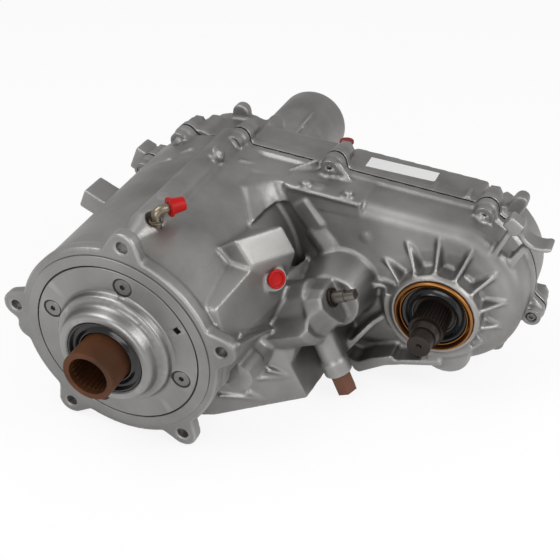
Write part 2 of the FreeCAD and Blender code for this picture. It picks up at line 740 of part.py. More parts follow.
def rear_lugs():
    """Lugs and clips that stand on the rear case."""
    block = box(-17, 20, rear_face_y + 2, rear_face_y + 28, -14, 14)
    block.rotate(V(0, 0, 0), V(0, 1, 0), -157)
    x, z = polar(case_r + 5, 156)
    block.translate(V(x, 0, z))
    clip_at = (front_x - 13, seam_front_r + 9)
    clip = ring(21.0, 17.0, rear_face_y + 2, rear_face_y + 20, clip_at)
    clip = clip.common(box(clip_at[0] - 19, clip_at[0] + 19, 200, 300, clip_at[1] - 22, clip_at[1] - 7))
    foot = box(clip_at[0] - 8, clip_at[0] + 8, rear_face_y + 2, rear_face_y + 20,
               seam_front_r - 26, clip_at[1] - 18.5)
    knob = pill((front_x + 54, front_z + 92), 7.0, (front_x + 38, front_z + 60), 9.0,
                rear_face_y + 6, rear_face_y + 22)
    return [block, clip, foot, knob]


def tail_bolt_places():
    step = 360.0 / tail_bolt_count
    return [polar(tail_bolt_pitch_r, 30 + step * i) for i in range(tail_bolt_count)]


def plug_places():
    return [(0.6 * front_x, front_z + 34), (0.6 * front_x, front_z - 44)]


def case_sealant():
    band = seam_outline(front_face_y, rear_face_y)
    inner = pill(MAIN, chain_case_main_r - wall + 4, CASE_FRONT, chain_case_r - wall + 4,
                 front_face_y - 1, rear_face_y + 1)
    band = band.cut(inner)
    for p in bolt_places():
        band = band.cut(cyl(case_bolt_r + seat, front_face_y - 1, rear_face_y + 1, p))
    return band


# Fasteners

def flange_bolt(place, head_y, tip_y, away):
    """Hexagon flange bolt with its head at head_y, on the side that away points to."""
    x, z = place
    head = hexagon(15.0, V(x, head_y, z), V(0, away, 0), 6.5)
    low, high = sorted((head_y, tip_y))
    return fuse(head, cyl(case_bolt_r, low, high, place))


def case_bolts():
    return Part.makeCompound([flange_bolt(p, case_boss_rear_y, case_boss_front_y + 1.5, 1)
                              for p in bolt_places()])


def tail_bolts():
    return Part.makeCompound([flange_bolt(p, tail_face_y + seated + 10, tail_face_y - 16, 1)
                              for p in tail_bolt_places()])


def retainer_screws():
    screws = []
    for a in screw_angles:
        at = polar(screw_pitch_r, a)
        head = cone(screw_head_r, screw_shank_r, -pilot_h, -pilot_h + 5, at)
        screw = fuse(head, cyl(screw_shank_r, -pilot_h + 4, recess_y + 13, at))
        screws.append(screw.cut(hexagon(6.0, V(at[0], -pilot_h - 1, at[1]), V(0, 1, 0), 4.5)))
    return Part.makeCompound(screws)


# Input side

def input_bearing_retainer():
    plate = cyl(retainer_r, -pilot_h, recess_y)
    hub = fuse(cone(hub_base_r - 2, hub_base_r, -pilot_h - 7, -pilot_h + 1),
               cone(hub_nose_r + 3, hub_base_r - 5, -pilot_h - 13, -pilot_h - 6),
               cone(hub_nose_r - 2, hub_nose_r + 1, hub_front_y, -pilot_h - 12))
    for a in screw_angles:
        hub = hub.cut(cyl(screw_head_r + 2, hub_front_y - 1, -pilot_h, polar(screw_pitch_r, a)))
    solid = fuse(plate, hub)
    solid = solid.cut(cyl(input_seal_r + seat, hub_front_y - 1, hub_front_y + 12))
    solid = solid.cut(cyl(input_r + 6, hub_front_y, recess_y + 1))
    for a in screw_angles:
        at = polar(screw_pitch_r, a)
        solid = solid.cut(cyl(screw_shank_r + seat, -pilot_h - 1, recess_y + 1, at))
        solid = solid.cut(cone(screw_head_r + seat, screw_shank_r + seat, -pilot_h, -pilot_h + 5, at))
    x, z = polar(62, 22)
    return solid.cut(box(x - 3, x + 3, -pilot_h - 1, -pilot_h + 3, z - 3, z + 3))


def lip_seal(r_out, r_shaft, y0, y1, at=MAIN):
    """Rubber shaft seal: an outer band, a front web and a lip that meets the shaft."""
    band = ring(r_out, r_out - 3, y0, y1, at)
    web = ring(r_out - 2, r_shaft + 3, y0 + 1.5, y0 + 4, at)
    lip = ring(r_shaft + 4, r_shaft + running, y0 + 3, y0 + 7, at)
    return fuse(band, web, lip)


def bearing_outer(r_out, r_in, y0, width, at=MAIN):
    """Outer race with the two shields that close the bearing."""
    inner = r_in + (r_out - r_in) * 0.30
    race = ring(r_out, r_out - (r_out - r_in) * 0.25, y0, y0 + width, at)
    shields = [ring(r_out - 1, inner + face_gap, y0 + 1, y0 + 2.2, at),
               ring(r_out - 1, inner + face_gap, y0 + width - 2.2, y0 + width - 1, at)]
    return fuse(race, *shields)


def bearing_inner(r_out, r_in, y0, width, at=MAIN):
    return ring(r_in + (r_out - r_in) * 0.30, r_in + seat, y0, y0 + width, at)


def input_gear():
    body = fuse(cyl(input_r, input_tip_y, bearing_back_y),
                cyl(input_r + 4, bearing_back_y, sun_face_y + 1),
                gear(sun_teeth, sun_face_y, sun_back_y))
    splines = toothed(input_spline_teeth, input_spline_r, input_spline_r + input_spline_depth,
                      0.62, 0.5, input_tip_y + 1, bearing_y)
    body = body.cut(splines).cut(cyl(input_mouth_r, input_tip_y - 1, input_tip_y + input_mouth_l))
    body = body.cut(cyl(shaft_pilot_r + running, bearing_y + 14, sun_back_y + 1))
    clutch = toothed(nose_teeth, nose_r, nose_r + clutch_depth, 0.62, 0.5,
                     sun_back_y - 13, sun_back_y + 1)
    return body.cut(clutch).removeSplitter()


# Planetary set

def planet_angles():
    return [90.0 + 360.0 * i / planet_count for i in range(planet_count)]


def planet_turn(angle):
    """Turn that puts a planet's tooth space over the sun tooth that faces it."""
    a = math.radians(angle)
    sun_phase = (a * sun_teeth / (2 * math.pi)) % 1.0
    return a + math.pi - (0.5 - sun_phase) * 2 * math.pi / planet_teeth


def ring_turn():
    """Turn that puts the ring gear's spaces over the planets' teeth."""
    a = math.radians(planet_angles()[0])
    phase = ((a - planet_turn(planet_angles()[0])) * planet_teeth / (2 * math.pi)) % 1.0
    return a - (phase + 0.5) * 2 * math.pi / ring_teeth


def annulus_gear():
    y0, y1 = planet_y - 2, sun_back_y + 2
    body = cyl(ring_body_r, y0, y1)
    return body.cut(ring_gear_cut(ring_teeth, y0 - 1, y1 + 1, ring_turn()))


def annulus_snap_ring():
    clip = ring(ring_body_r + 2, ring_body_r - 4, sun_back_y + 2.6, sun_back_y + 4.6)
    return clip.cut(box(-9, 9, 0, 200, 0, ring_body_r + 10))


def planet_carrier():
    front = ring(carrier_r, input_r + 8, carrier_front_y, carrier_front_y + carrier_plate_t)
    rear = ring(carrier_r, low_r + 5, carrier_back_y - carrier_plate_t, carrier_back_y)
    drum = ring(low_r + 8, low_r + 3.5, carrier_back_y - 1, drum_y + 10)
    teeth = cyl(low_r + 8, drum_y, drum_y + 10).cut(
        toothed(low_teeth, low_r, low_r + clutch_depth, 0.62, 0.5, drum_y - 1, drum_y + 11))
    webs = [cyl(9.0, carrier_front_y + 1, carrier_back_y - 1, polar(planet_orbit_r, a + 60))
            for a in planet_angles()]
    solid = fuse(front, rear, drum, teeth, *webs)
    for a in planet_angles():
        at = polar(planet_orbit_r, a)
        solid = solid.cut(cyl(planet_pin_r + running, carrier_front_y - 1, carrier_back_y + 1, at))
    return solid


def planet_pins():
    return Part.makeCompound([cyl(planet_pin_r, carrier_front_y, carrier_back_y,
                                  polar(planet_orbit_r, a)) for a in planet_angles()])


def planet_gear(angle):
    at = polar(planet_orbit_r, angle)
    wheel = gear(planet_teeth, planet_y, planet_y + planet_width, at, planet_turn(angle))
    return wheel.cut(cyl(planet_pin_r + running, planet_y - 1, planet_y + planet_width + 1, at))


def range_hub():
    nose_front = sun_back_y - 12
    low_y = drum_y + 0.5 - range_travel
    body = fuse(
        toothed(nose_teeth, nose_r - 0.3, nose_r + clutch_depth - 0.4, 0.46, 0.34,
                nose_front, sun_back_y - 1),
        cyl(nose_r - 0.5, sun_back_y - 2, low_y),
        toothed(low_teeth, low_r - 0.4, low_r + clutch_depth - 0.5, 0.46, 0.34, low_y, low_y + 8),
        cyl(shaft_r + 10, low_y + 7, fork_y + 8),
        cyl(low_r - 4, fork_y - 8, fork_y - 5), cyl(low_r - 4, fork_y + 5, fork_y + 8))
    bore = toothed(16, shaft_r + 0.1, shaft_r + 1.5, 0.56, 0.48, nose_front - 1, fork_y + 9)
    return body.cut(bore)


# Main shaft and what turns on it

def main_shaft():
    teeth = toothed(16, shaft_r, shaft_r + 1.3, 0.46, 0.36, sun_back_y - 12, fork_y + 30)
    rear_teeth = toothed(24, shaft_r, shaft_spline_r, 0.5, 0.4, tail_face_y + 4,
                         shaft_end_y - shaft_end_l)
    return fuse(
        cyl(shaft_pilot_r, shaft_front_y, sun_back_y - 12),
        cyl(shaft_r, sun_back_y - 12.5, mode_y - 2), teeth,
        cyl(shaft_mid_r, mode_y - 3, dome_y + out_bearing_w + 4),
        cyl(shaft_r, dome_y + out_bearing_w, tail_face_y + 5), rear_teeth,
        cyl(shaft_end_r, shaft_end_y - shaft_end_l - 1, shaft_end_y))


def mode_hub():
    wheel = toothed(36, mode_r - 0.3, mode_r + 1.6, 0.46, 0.36, mode_y, mode_y + 14)
    return wheel.cut(cyl(shaft_mid_r + seat, mode_y - 1, mode_y + 15))


def mode_sleeve():
    y0, y1 = mode_y + 2, chain_front_y - 3.5
    body = ring(mode_r + 6, mode_r - 2, y0, y1)
    body = fuse(body, ring(mode_r + 11, mode_r + 4, mode_fork_y - 7.5, mode_fork_y - 4.5),
                ring(mode_r + 11, mode_r + 4, mode_fork_y + 4.5, mode_fork_y + 7.5))
    return body.cut(toothed(36, mode_r, mode_r + 2, 0.62, 0.5, y0 - 1, y1 + 1))


def sprocket(at, bore_r):
    wheel = toothed(sprocket_teeth, sprocket_root_r, sprocket_tip_r, 0.66, 0.3,
                    chain_front_y, chain_back_y, at)
    wheel = wheel.cut(ring(sprocket_root_r - 5, bore_r + 9, chain_front_y - 1, chain_front_y + 7, at))
    wheel = wheel.cut(ring(sprocket_root_r - 5, bore_r + 9, chain_back_y - 7, chain_back_y + 1, at))
    return wheel


def drive_sprocket():
    clutch = toothed(36, mode_r - 0.3, mode_r + 1.6, 0.46, 0.36,
                     chain_front_y - 12, chain_front_y - 2)
    neck = cyl(shaft_mid_r + 9, chain_front_y - 3, chain_front_y + 8)
    wheel = fuse(sprocket(MAIN, shaft_mid_r), clutch, neck)
    return wheel.cut(cyl(shaft_mid_r + running, chain_front_y - 20, chain_back_y + 5))


def driven_sprocket():
    return sprocket(FRONT, out_shaft_r).cut(
        cyl(out_shaft_r + seat, chain_front_y - 1, chain_back_y + 1, FRONT))


def chain():
    """Plate links laid round both sprockets, just off the tips of their teeth."""
    mid_r = chain_inner_r + chain_height / 2
    straight = centre_distance
    loop = 2 * straight + 2 * math.pi * mid_r
    half = loop / chain_links / 2 - 0.15
    h = chain_height / 2
    outline = [(-half, -h + 1.5), (-half + 2, -h), (-1, -h), (0, -h + 1.2), (1, -h),
               (half - 2, -h), (half, -h + 1.5), (half, h - 1.5), (half - 1.5, h),
               (-half + 1.5, h), (-half, h - 1.5)]
    links = []
    for i in range(chain_links):
        s = (i + 0.5) * loop / chain_links
        arc = math.pi * mid_r
        if s < straight:
            x, z, angle = s, mid_r, 0.0
        elif s < straight + arc:
            a = (s - straight) / mid_r
            x, z, angle = straight + mid_r * math.sin(a), mid_r * math.cos(a), -a
        elif s < 2 * straight + arc:
            x, z, angle = straight - (s - straight - arc), -mid_r, math.pi
        else:
            a = (s - 2 * straight - arc) / mid_r
            x, z, angle = -mid_r * math.sin(a), -mid_r * math.cos(a), math.pi - a
        link = prism(outline, chain_front_y + 1, chain_back_y - 1)
        link.rotate(V(0, 0, 0), V(0, 1, 0), -math.degrees(angle))
        link.translate(V(x, 0, z))
        link.rotate(V(0, 0, 0), V(0, 1, 0), math.degrees(axis_drop))
        links.append(link)
    return Part.makeCompound(links)


def front_output_shaft():
    neck_y = out_face_y + 12
    teeth = toothed(out_spline_teeth, out_spline_r - 1.2, out_spline_r, 0.6, 0.42,
                    out_tip_y + 24, neck_y - 2, FRONT)
    return fuse(
        cyl(out_tip_r, out_tip_y, out_tip_y + 15, FRONT).cut(
            cone(3.0, 0.5, out_tip_y - 0.1, out_tip_y + 3, FRONT)),
        cone(out_tip_r + 1.5, out_tip_r + 3, out_tip_y + 14, out_tip_y + 22, FRONT),
        cyl(out_tip_r + 3, out_tip_y + 21, out_tip_y + 25, FRONT), teeth,
        cyl(out_shaft_r, neck_y - 8, chain_back_y + 2, FRONT),
        cyl(out_rear_shaft_r, chain_back_y + 1, out_rear_y + out_rear_bearing_w, FRONT))


def front_output_seal_ring():
    """Pressed steel case of the output seal, with its rolled front rim."""
    shell = ring(out_seal_r, out_seal_r - 2.0, out_face_y - 1.5, out_face_y + 10, FRONT)
    inner = ring(out_seal_r - 4.2, out_seal_r - 5.6, out_face_y + 0.5, out_face_y + 10, FRONT)
    floor = ring(out_seal_r - 1, out_shaft_r + 5, out_face_y + 8.6, out_face_y + 10, FRONT)
    return fuse(shell, inner, floor)


def front_output_seal_lip():
    y0 = out_face_y + 3
    cup = ring(out_seal_r - 6, out_seal_r - 10, y0 - 1, y0 + 5, FRONT)
    web = ring(out_seal_r - 8, out_shaft_r + 3, y0 + 3, y0 + 5, FRONT)
    lip = ring(out_shaft_r + 4, out_shaft_r + running, y0 + 2.5, y0 + 5, FRONT)
    return fuse(cup, web, lip)


# Oil system

def oil_pump_housing():
    y1 = rear_y - wall
    return fuse(ring(out_bearing_r + 8, shaft_mid_r + 12, y1 - 18, y1),
                ring(out_bearing_r + 8, shaft_mid_r + 2, y1 - 18, y1 - 15)).cut(
        cyl(5.1, y1 - 30, y1 + 1, (-14, -out_bearing_r - 2)))


def oil_pump_rotor():
    y1 = rear_y - wall
    return toothed(7, shaft_mid_r + 6, shaft_mid_r + 11.5, 0.7, 0.4, y1 - 14.8, y1 - 1).cut(
        cyl(shaft_mid_r + seat, y1 - 16, y1))


def oil_pickup_tube():
    y1 = rear_y - wall
    elbow = cyl(5.0, y1 - 30, y1 - 2, (-14, -out_bearing_r - 2))
    pipe = rod(5.0, V(-14, y1 - 25, -out_bearing_r - 2), V(0, 0, -1), 30)
    screen = box(-25, 3, y1 - 36, y1 - 14, -out_bearing_r - 41, -out_bearing_r - 31)
    return fuse(elbow, pipe, screen)


# Tail

def tail_housing():
    y0 = tail_face_y + seated
    outside = [cyl(tail_flange_r, y0, y0 + 10), cone(tail_r + 8, tail_r, y0 + 9, y0 + 42),
               cyl(tail_r, y0 + 9, tail_end_y - 6),
               cone(tail_r, tail_r - 2.5, tail_end_y - 6, tail_end_y)]
    for a in (50, 130, 230, 310):
        outside.append(pill(polar(tail_r - 2, a), 2.6, polar(tail_r - 8, a), 3.0, y0 + 8, y0 + 96))
    solid = fuse(*outside)
    solid = solid.cut(cyl(tail_r - tail_wall, y0 - 1, bush_y - 2))
    solid = solid.cut(cyl(tail_bush_r + 2.5 + seat, bush_y - 3, tail_end_y - tail_seal_w))
    solid = solid.cut(cyl(tail_bush_r + 7 + seat, tail_end_y - tail_seal_w, tail_end_y + 1))
    for p in tail_bolt_places():
        solid = solid.cut(cyl(case_bolt_r + seat, y0 - 1, y0 + 11, p))
        solid = solid.cut(cyl(9.8, y0 + 10, y0 + 20, p))
    return solid.removeSplitter()


def tone_ring():
    wheel = toothed(24, out_bearing_r - 10, out_bearing_r - 7.5, 0.6, 0.5,
                    tail_face_y - 14, tail_face_y - 6)
    return wheel.cut(cyl(shaft_r + seat, tail_face_y - 15, tail_face_y - 5))


# Shift mechanism

def sector_place():
    """Placement with local X along the shaft, Y rearwards and Z up the plate."""
    return FreeCAD.Placement(SECTOR, FreeCAD.Rotation(V(0, 1, 0), -math.degrees(sector_tilt)))


def fan(r, start, end):
    """Flat wedge in the plate's plane; angles run from the detent line towards the rear."""
    def at(angle):
        a = math.radians(angle)
        return V(-sector_plate_t / 2, r * math.sin(a), -r * math.cos(a))
    edges = [Part.Arc(at(start), at((start + end) / 2), at(end)).toShape(),
             Part.LineSegment(at(end), V(-sector_plate_t / 2, 0, 0)).toShape(),
             Part.LineSegment(V(-sector_plate_t / 2, 0, 0), at(start)).toShape()]
    return Part.Face(Part.Wire(edges)).extrude(V(sector_plate_t, 0, 0))


def cam_slot():
    """Path of the fork's pin in the turning plate, cut with room to slide."""
    steps = 8
    cuts = []
    for i in range(steps + 1):
        share = i / steps
        turn = math.radians(sector_sweep * share)
        u = range_travel * (share - 0.5)
        w = sector_pin_arm
        local_u = u * math.cos(turn) - w * math.sin(turn)
        local_w = u * math.sin(turn) + w * math.cos(turn)
        cuts.append(rod(fork_pin_r + 0.4, V(-9, local_u, -local_w), V(1, 0, 0), 18))
    return cuts


def shift_sector():
    end_s = lever_s + lever_l
    shaft = fuse(rod(sector_shaft_r, V(-6, 0, 0), V(1, 0, 0), lever_s + 6),
                 rod(lever_r, V(lever_s - 1, 0, 0), V(1, 0, 0), lever_l + 1),
                 rod(lever_tip_r, V(end_s - 1, 0, 0), V(1, 0, 0), sector_tip_s - end_s + 1))
    flats = [box(end_s + 1, sector_tip_s + 1, -9, 9, z, z + 4)
             for z in (lever_tip_r - 1.2, -lever_tip_r - 2.8)]
    plate = fuse(fan(sector_edge_r, -48, 26), rod(13, V(-3, 0, 0), V(1, 0, 0), sector_plate_t))
    for cut in cam_slot():
        plate = plate.cut(cut)
    for angle in (12, 0, -16, -32):
        a = math.radians(angle)
        mid = sector_edge_r + 3.4
        plate = plate.cut(rod(4.6, V(-9, mid * math.sin(a), -mid * math.cos(a)), V(1, 0, 0), 18))
    solid = fuse(shaft.cut(flats[0]).cut(flats[1]), plate)
    solid.Placement = sector_place()
    return solid


def sector_seal():
    return rod(9.6, SECTOR + SHAFT_DIR * 26, SHAFT_DIR, 3.0).cut(
        rod(sector_shaft_r + running, SECTOR + SHAFT_DIR * 25, SHAFT_DIR, 5.0))


def detent_plunger():
    start = SECTOR + DETENT_DIR * (sector_edge_r + 0.4)
    tip = Part.makeCone(1.5, detent_ball_r, 4.0, start, DETENT_DIR)
    return fuse(tip, rod(detent_ball_r, start + DETENT_DIR * 4, DETENT_DIR, 12))


def detent_spring():
    start = SECTOR + DETENT_DIR * (sector_edge_r + 16.6)
    outer = rod(detent_ball_r - 0.4, start, DETENT_DIR, 22)
    return outer.cut(rod(detent_ball_r - 1.6, start - DETENT_DIR, DETENT_DIR, 24))


def detent_plug():
    hex_s = 86.0
    head = hexagon(19.0, SECTOR + DETENT_DIR * hex_s, DETENT_DIR, detent_end_s - hex_s)
    collar = rod(detent_boss_r - 2.5, SECTOR + DETENT_DIR * (hex_s - 2), DETENT_DIR, 3)
    shank = rod(detent_ball_r - 0.1, SECTOR + DETENT_DIR * (sector_edge_r + 39), DETENT_DIR, 20)
    return fuse(head, collar, shank)


def shift_rail():
    return cyl(rail_r, 52.5, rear_y - 4, (RAIL.x, RAIL.z))


def fork(y, pad_r, ring_r, width, hub_l):
    """Half ring round a sliding collar, carried by a hub on the shift rail."""
    at = (RAIL.x, RAIL.z)
    y0, y1 = y - width / 2, y + width / 2
    hub = cyl(rail_r + 4, y - hub_l / 2, y + hub_l / 2, at)
    arm = pill(at, rail_r + 4, polar(ring_r - 6, math.degrees(math.atan2(at[1], at[0]))),
               14.0, y0, y1)
    half = ring(ring_r, pad_r, y0, y1)
    turn = math.degrees(math.atan2(at[1], at[0]))
    keep = box(-4, ring_r + 5, y0 - 1, y1 + 1, -ring_r - 5, ring_r + 5)
    keep.rotate(V(0, 0, 0), V(0, 1, 0), -turn)
    body = fuse(arm.cut(cyl(pad_r, y0 - 1, y1 + 1)), half.common(keep), hub)
    return body.cut(cyl(rail_r + running, y - hub_l, y + hub_l, at))


def range_fork():
    body = fork(fork_y, shaft_r + 10.3, low_r + 7, 9.4, 30.0)
    pin_y = sector_y - range_travel / 2
    start = V(RAIL.x, pin_y, RAIL.z) + SHAFT_DIR * (rail_r + 1)
    pin = rod(fork_pin_r, start, SHAFT_DIR, fork_pin_l - rail_r + 3)
    return fuse(body, pin)


def mode_fork():
    return fork(mode_fork_y, mode_r + 6.3, mode_r + 17, 8.4, 22.0)


# Ports and plugs

def vent_tube():
    """Steel elbow pressed into the top of the housing, with a bead at its foot."""
    foot = V(VENT_AT)
    bend = 7.0
    out = V(VENT_DIR)
    out.normalize()
    top = foot + V(0, 0, 5)
    side = V(out.x, out.y, 0)
    side.normalize()
    end = top + side * bend + V(0, 0, bend)
    mid = top + side * (bend * (1 - math.cos(math.pi / 4))) + V(0, 0, bend * math.sin(math.pi / 4))
    path = Part.Wire([Part.LineSegment(foot - V(0, 0, 10), top).toShape(),
                      Part.Arc(top, mid, end).toShape(),
                      Part.LineSegment(end, end + side * vent_l).toShape()])
    profile = Part.Wire([Part.Circle(foot - V(0, 0, 10), V(0, 0, 1), vent_r).toShape()])
    tube = path.makePipeShell([profile], True, False)
    bead = rod(vent_r + 2.2, foot + V(0, 0, seated), V(0, 0, 1), 2.2)
    return fuse(tube, bead)


def vent_end():
    out = V(VENT_DIR.x, VENT_DIR.y, 0)
    out.normalize()
    return VENT_AT + V(0, 0, 12) + out * (7 + vent_l), out


def vent_cap():
    end, out = vent_end()
    cup = Part.makeCone(vent_r + 3.4, vent_r + 1.9, 15, end - out * 11, out)
    rim = rod(vent_r + 4.6, end - out * 11, out, 2.5)
    return fuse(cup, rim).cut(rod(vent_r + running, end - out * 12, out, 12.4))


def rear_port_cap():
    at = V(rear_port_x, rear_port_y, rear_port_z)
    return fuse(rod(6.2, at, V(0, 0, 1), 7), rod(7.4, at + V(0, 0, 5), V(0, 0, 1), 3),
                rod(rear_port_r - running, at - V(0, 0, 8), V(0, 0, 1), 9))


def oil_plug(place):
    x, z = place
    return fuse(hexagon(17.0, V(x, rear_y, z), V(0, 1, 0), 8),
                cyl(plug_r, rear_y - wall + 1, rear_y + 1, place))


def save_all():
    front = {"at": FRONT}
    save("front_case", front_case())
    save("rear_case", rear_case())
    save("case_sealant", case_sealant())
    save("case_bolts", case_bolts())
    save("input_bearing_retainer", input_bearing_retainer())
    save("retainer_screws", retainer_screws())
    save("input_seal", lip_seal(input_seal_r, input_r, hub_front_y + 1, hub_front_y + 11.5))
    save("input_bearing_outer", bearing_outer(bearing_r, input_r, bearing_y, bearing_w - 0.3))
    save("input_bearing_inner", bearing_inner(bearing_r, input_r, bearing_y, bearing_w - 0.3))
    save("input_gear", input_gear())
    save("annulus_gear", annulus_gear())
    save("annulus_snap_ring", annulus_snap_ring())
    save("planet_carrier", planet_carrier())
    save("planet_pins", planet_pins())
    for i, angle in enumerate(planet_angles()):
        save("planet_gear_" + str(i + 1), planet_gear(angle))
    save("range_hub", range_hub())
    save("main_shaft", main_shaft())
    save("mode_hub", mode_hub())
    save("mode_sleeve", mode_sleeve())
    save("drive_sprocket", drive_sprocket())
    save("driven_sprocket", driven_sprocket())
    save("chain", chain())
    save("front_output_shaft", front_output_shaft())
    save("front_output_seal_ring", front_output_seal_ring())
    save("front_output_seal_lip", front_output_seal_lip())
    y = out_face_y + 12.3
    save("front_output_bearing_outer", bearing_outer(out_bearing_r, out_shaft_r, y,
                                                     out_bearing_w, **front))
    save("front_output_bearing_inner", bearing_inner(out_bearing_r, out_shaft_r, y,
                                                     out_bearing_w, **front))
    save("front_output_rear_bearing_outer", bearing_outer(
        out_rear_bearing_r, out_rear_shaft_r, out_rear_y, out_rear_bearing_w, **front))
    save("front_output_rear_bearing_inner", bearing_inner(
        out_rear_bearing_r, out_rear_shaft_r, out_rear_y, out_rear_bearing_w, **front))
    save("rear_bearing_outer", bearing_outer(out_bearing_r, shaft_mid_r, dome_y + 0.2, out_bearing_w))
    save("rear_bearing_inner", bearing_inner(out_bearing_r, shaft_mid_r, dome_y + 0.2, out_bearing_w))
    save("oil_pump_housing", oil_pump_housing())
    save("oil_pump_rotor", oil_pump_rotor())
    save("oil_pickup_tube", oil_pickup_tube())
    save("tail_housing", tail_housing())
    save("tail_bolts", tail_bolts())
    save("tail_bush", ring(tail_bush_r + 2.5, tail_bush_r, bush_y, bush_y + tail_bush_l))
    save("tail_seal", lip_seal(tail_bush_r + 7, tail_bush_r, tail_end_y - tail_seal_w + 0.3,
                               tail_end_y - 0.5))
    save("tone_ring", tone_ring())
    save("shift_sector", shift_sector())
    save("sector_seal", sector_seal())
    save("detent_plunger", detent_plunger())
    save("detent_spring", detent_spring())
    save("detent_plug", detent_plug())
    save("shift_rail", shift_rail())
    save("range_fork", range_fork())
    save("mode_fork", mode_fork())
    save("vent_tube", vent_tube())
    save("vent_cap", vent_cap())
    save("switch_port_plug", switch_port())
    save("rear_port_cap", rear_port_cap())
    for name, place in zip(("fill_plug", "drain_plug"), plug_places()):
        save(name, oil_plug(place))


save_all()
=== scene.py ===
import logging
import math
from collections.abc import Iterator
from contextlib import contextmanager
from dataclasses import dataclass, field
from enum import Enum

import bpy
from mathutils import Matrix, Vector


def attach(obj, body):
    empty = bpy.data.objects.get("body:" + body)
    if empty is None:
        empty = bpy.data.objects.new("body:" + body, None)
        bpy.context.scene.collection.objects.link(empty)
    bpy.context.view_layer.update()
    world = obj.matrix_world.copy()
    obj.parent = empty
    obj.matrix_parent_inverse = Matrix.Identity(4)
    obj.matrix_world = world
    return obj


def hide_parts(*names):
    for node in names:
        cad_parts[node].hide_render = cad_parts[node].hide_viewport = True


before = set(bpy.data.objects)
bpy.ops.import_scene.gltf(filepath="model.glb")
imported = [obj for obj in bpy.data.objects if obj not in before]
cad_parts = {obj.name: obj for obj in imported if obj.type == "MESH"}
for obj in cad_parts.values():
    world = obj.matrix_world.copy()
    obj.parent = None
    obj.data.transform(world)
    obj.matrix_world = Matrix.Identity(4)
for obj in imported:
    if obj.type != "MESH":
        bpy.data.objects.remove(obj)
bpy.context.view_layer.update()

log = logging.getLogger("transfer_case")

MM = 0.001
Piece = bpy.types.Object
NODES: dict[str, Piece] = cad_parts

# Axes of the photograph's camera: to its right, down, and ahead.
VIEW_AXES = (
    Vector((0.92218, 0.38675, -0.0030)),
    Vector((0.21752, -0.52503, -0.82281)),
    Vector((-0.31980, 0.75813, -0.56830)),
)
CAMERA_AT = Vector((415.5, -602.2, 564.8)) * MM
FOCAL_PX = 1000.0
FRAME_PX = 560.0

# Sizes that more than one piece shares, in millimetres.
Point = tuple[float, float]
PILOT_R = 93.8
OUTPUT_AT: Point = (252.28, -8.10)
OUTPUT_FACE_Y = 161.2

# Past this many triangles a piece keeps its plain normals.
WEIGHTED_LIMIT = 60000


# Finishes

Colour = tuple[float, float, float]


class Surface(Enum):
    """How coarse the grain of a finish is."""

    CAST = 900.0
    BLASTED = 1500.0
    TURNED = 2500.0
    SMOOTH = 4000.0


@dataclass(frozen=True)
class MetalFinish:
    """A bare metal whose colour wanders between two tones.

    Args:
        name: material name.
        light: colour of the clean areas.
        dark: colour of the dull areas.
        roughness: mean roughness.
        grain: surface coarseness.
        grain_height: strength of the grain's bump.
        metallic: share of metal in the shader.
        painted_edge_and_crease_shading: strength of the painted highlight on raised edges and of
            the painted shade in creases, from 0 to 1.
        shine: strength of the gloss that isn't metallic.
    """

    name: str
    light: Colour
    dark: Colour
    roughness: float = 0.4
    grain: Surface = Surface.BLASTED
    grain_height: float = 0.15
    metallic: float = 1.0
    painted_edge_and_crease_shading: float = 0.0
    shine: float = 0.5

    def build(self) -> bpy.types.Material:
        """Makes the material.

        Returns:
            The new material.
        """
        material, shader, nodes, links = new_material(self.name)
        shader.inputs["Metallic"].default_value = self.metallic
        shader.inputs["Specular IOR Level"].default_value = self.shine
        place = add_node(nodes, "TexCoord")
        patches = noise(nodes, links, place, 14.0, 6.0)
        spread = add_node(nodes, "MapRange", {"From Min": 0.38, "From Max": 0.68})
        tone = add_node(nodes, "Mix", {"A": (*self.light, 1), "B": (*self.dark, 1)},
                        data_type="RGBA")
        links.new(patches.outputs["Fac"], spread.inputs["Value"])
        links.new(spread.outputs["Result"], tone.inputs["Factor"])
        colour = tone.outputs["Result"]
        # Painted highlight and shade: the colour is lightened on raised edges and darkened in
        # creases, following the mesh's pointiness.
        if self.painted_edge_and_crease_shading > 0:
            geometry = add_node(nodes, "NewGeometry")
            ramp = add_node(nodes, "MapRange", {
                "From Min": 0.44, "From Max": 0.56, "To Min": 1.0 - self.painted_edge_and_crease_shading,
                "To Max": 1.0 + 0.55 * self.painted_edge_and_crease_shading,
            })
            links.new(geometry.outputs["Pointiness"], ramp.inputs["Value"])
            scaled = add_node(nodes, "Mix", {"Factor": 1.0}, data_type="RGBA",
                              blend_type="MULTIPLY")
            links.new(colour, scaled.inputs["A"])
            links.new(ramp.outputs["Result"], scaled.inputs["B"])
            colour = scaled.outputs["Result"]
        links.new(colour, shader.inputs["Base Color"])
        gloss = add_node(nodes, "MapRange", {
            "To Min": self.roughness - 0.06, "To Max": self.roughness + 0.10})
        links.new(patches.outputs["Fac"], gloss.inputs["Value"])
        links.new(gloss.outputs["Result"], shader.inputs["Roughness"])
        bump_from(nodes, links, place, shader, self.grain.value, self.grain_height)
        return material


@dataclass(frozen=True)
class PlainFinish:
    """A rubber or plastic with one colour and a fine grain.

    Args:
        name: material name.
        colour: base colour.
        roughness: roughness.
        grain_height: strength of the bump.
        shine: strength of the gloss.
    """

    name: str
    colour: Colour
    roughness: float = 0.45
    grain_height: float = 0.04
    shine: float = 0.5

    def build(self) -> bpy.types.Material:
        """Makes the material.

        Returns:
            The new material.
        """
        material, shader, nodes, links = new_material(self.name)
        shader.inputs["Base Color"].default_value = (*self.colour, 1)
        shader.inputs["Roughness"].default_value = self.roughness
        shader.inputs["Specular IOR Level"].default_value = self.shine
        place = add_node(nodes, "TexCoord")
        bump_from(nodes, links, place, shader, Surface.TURNED.value, self.grain_height)
        return material


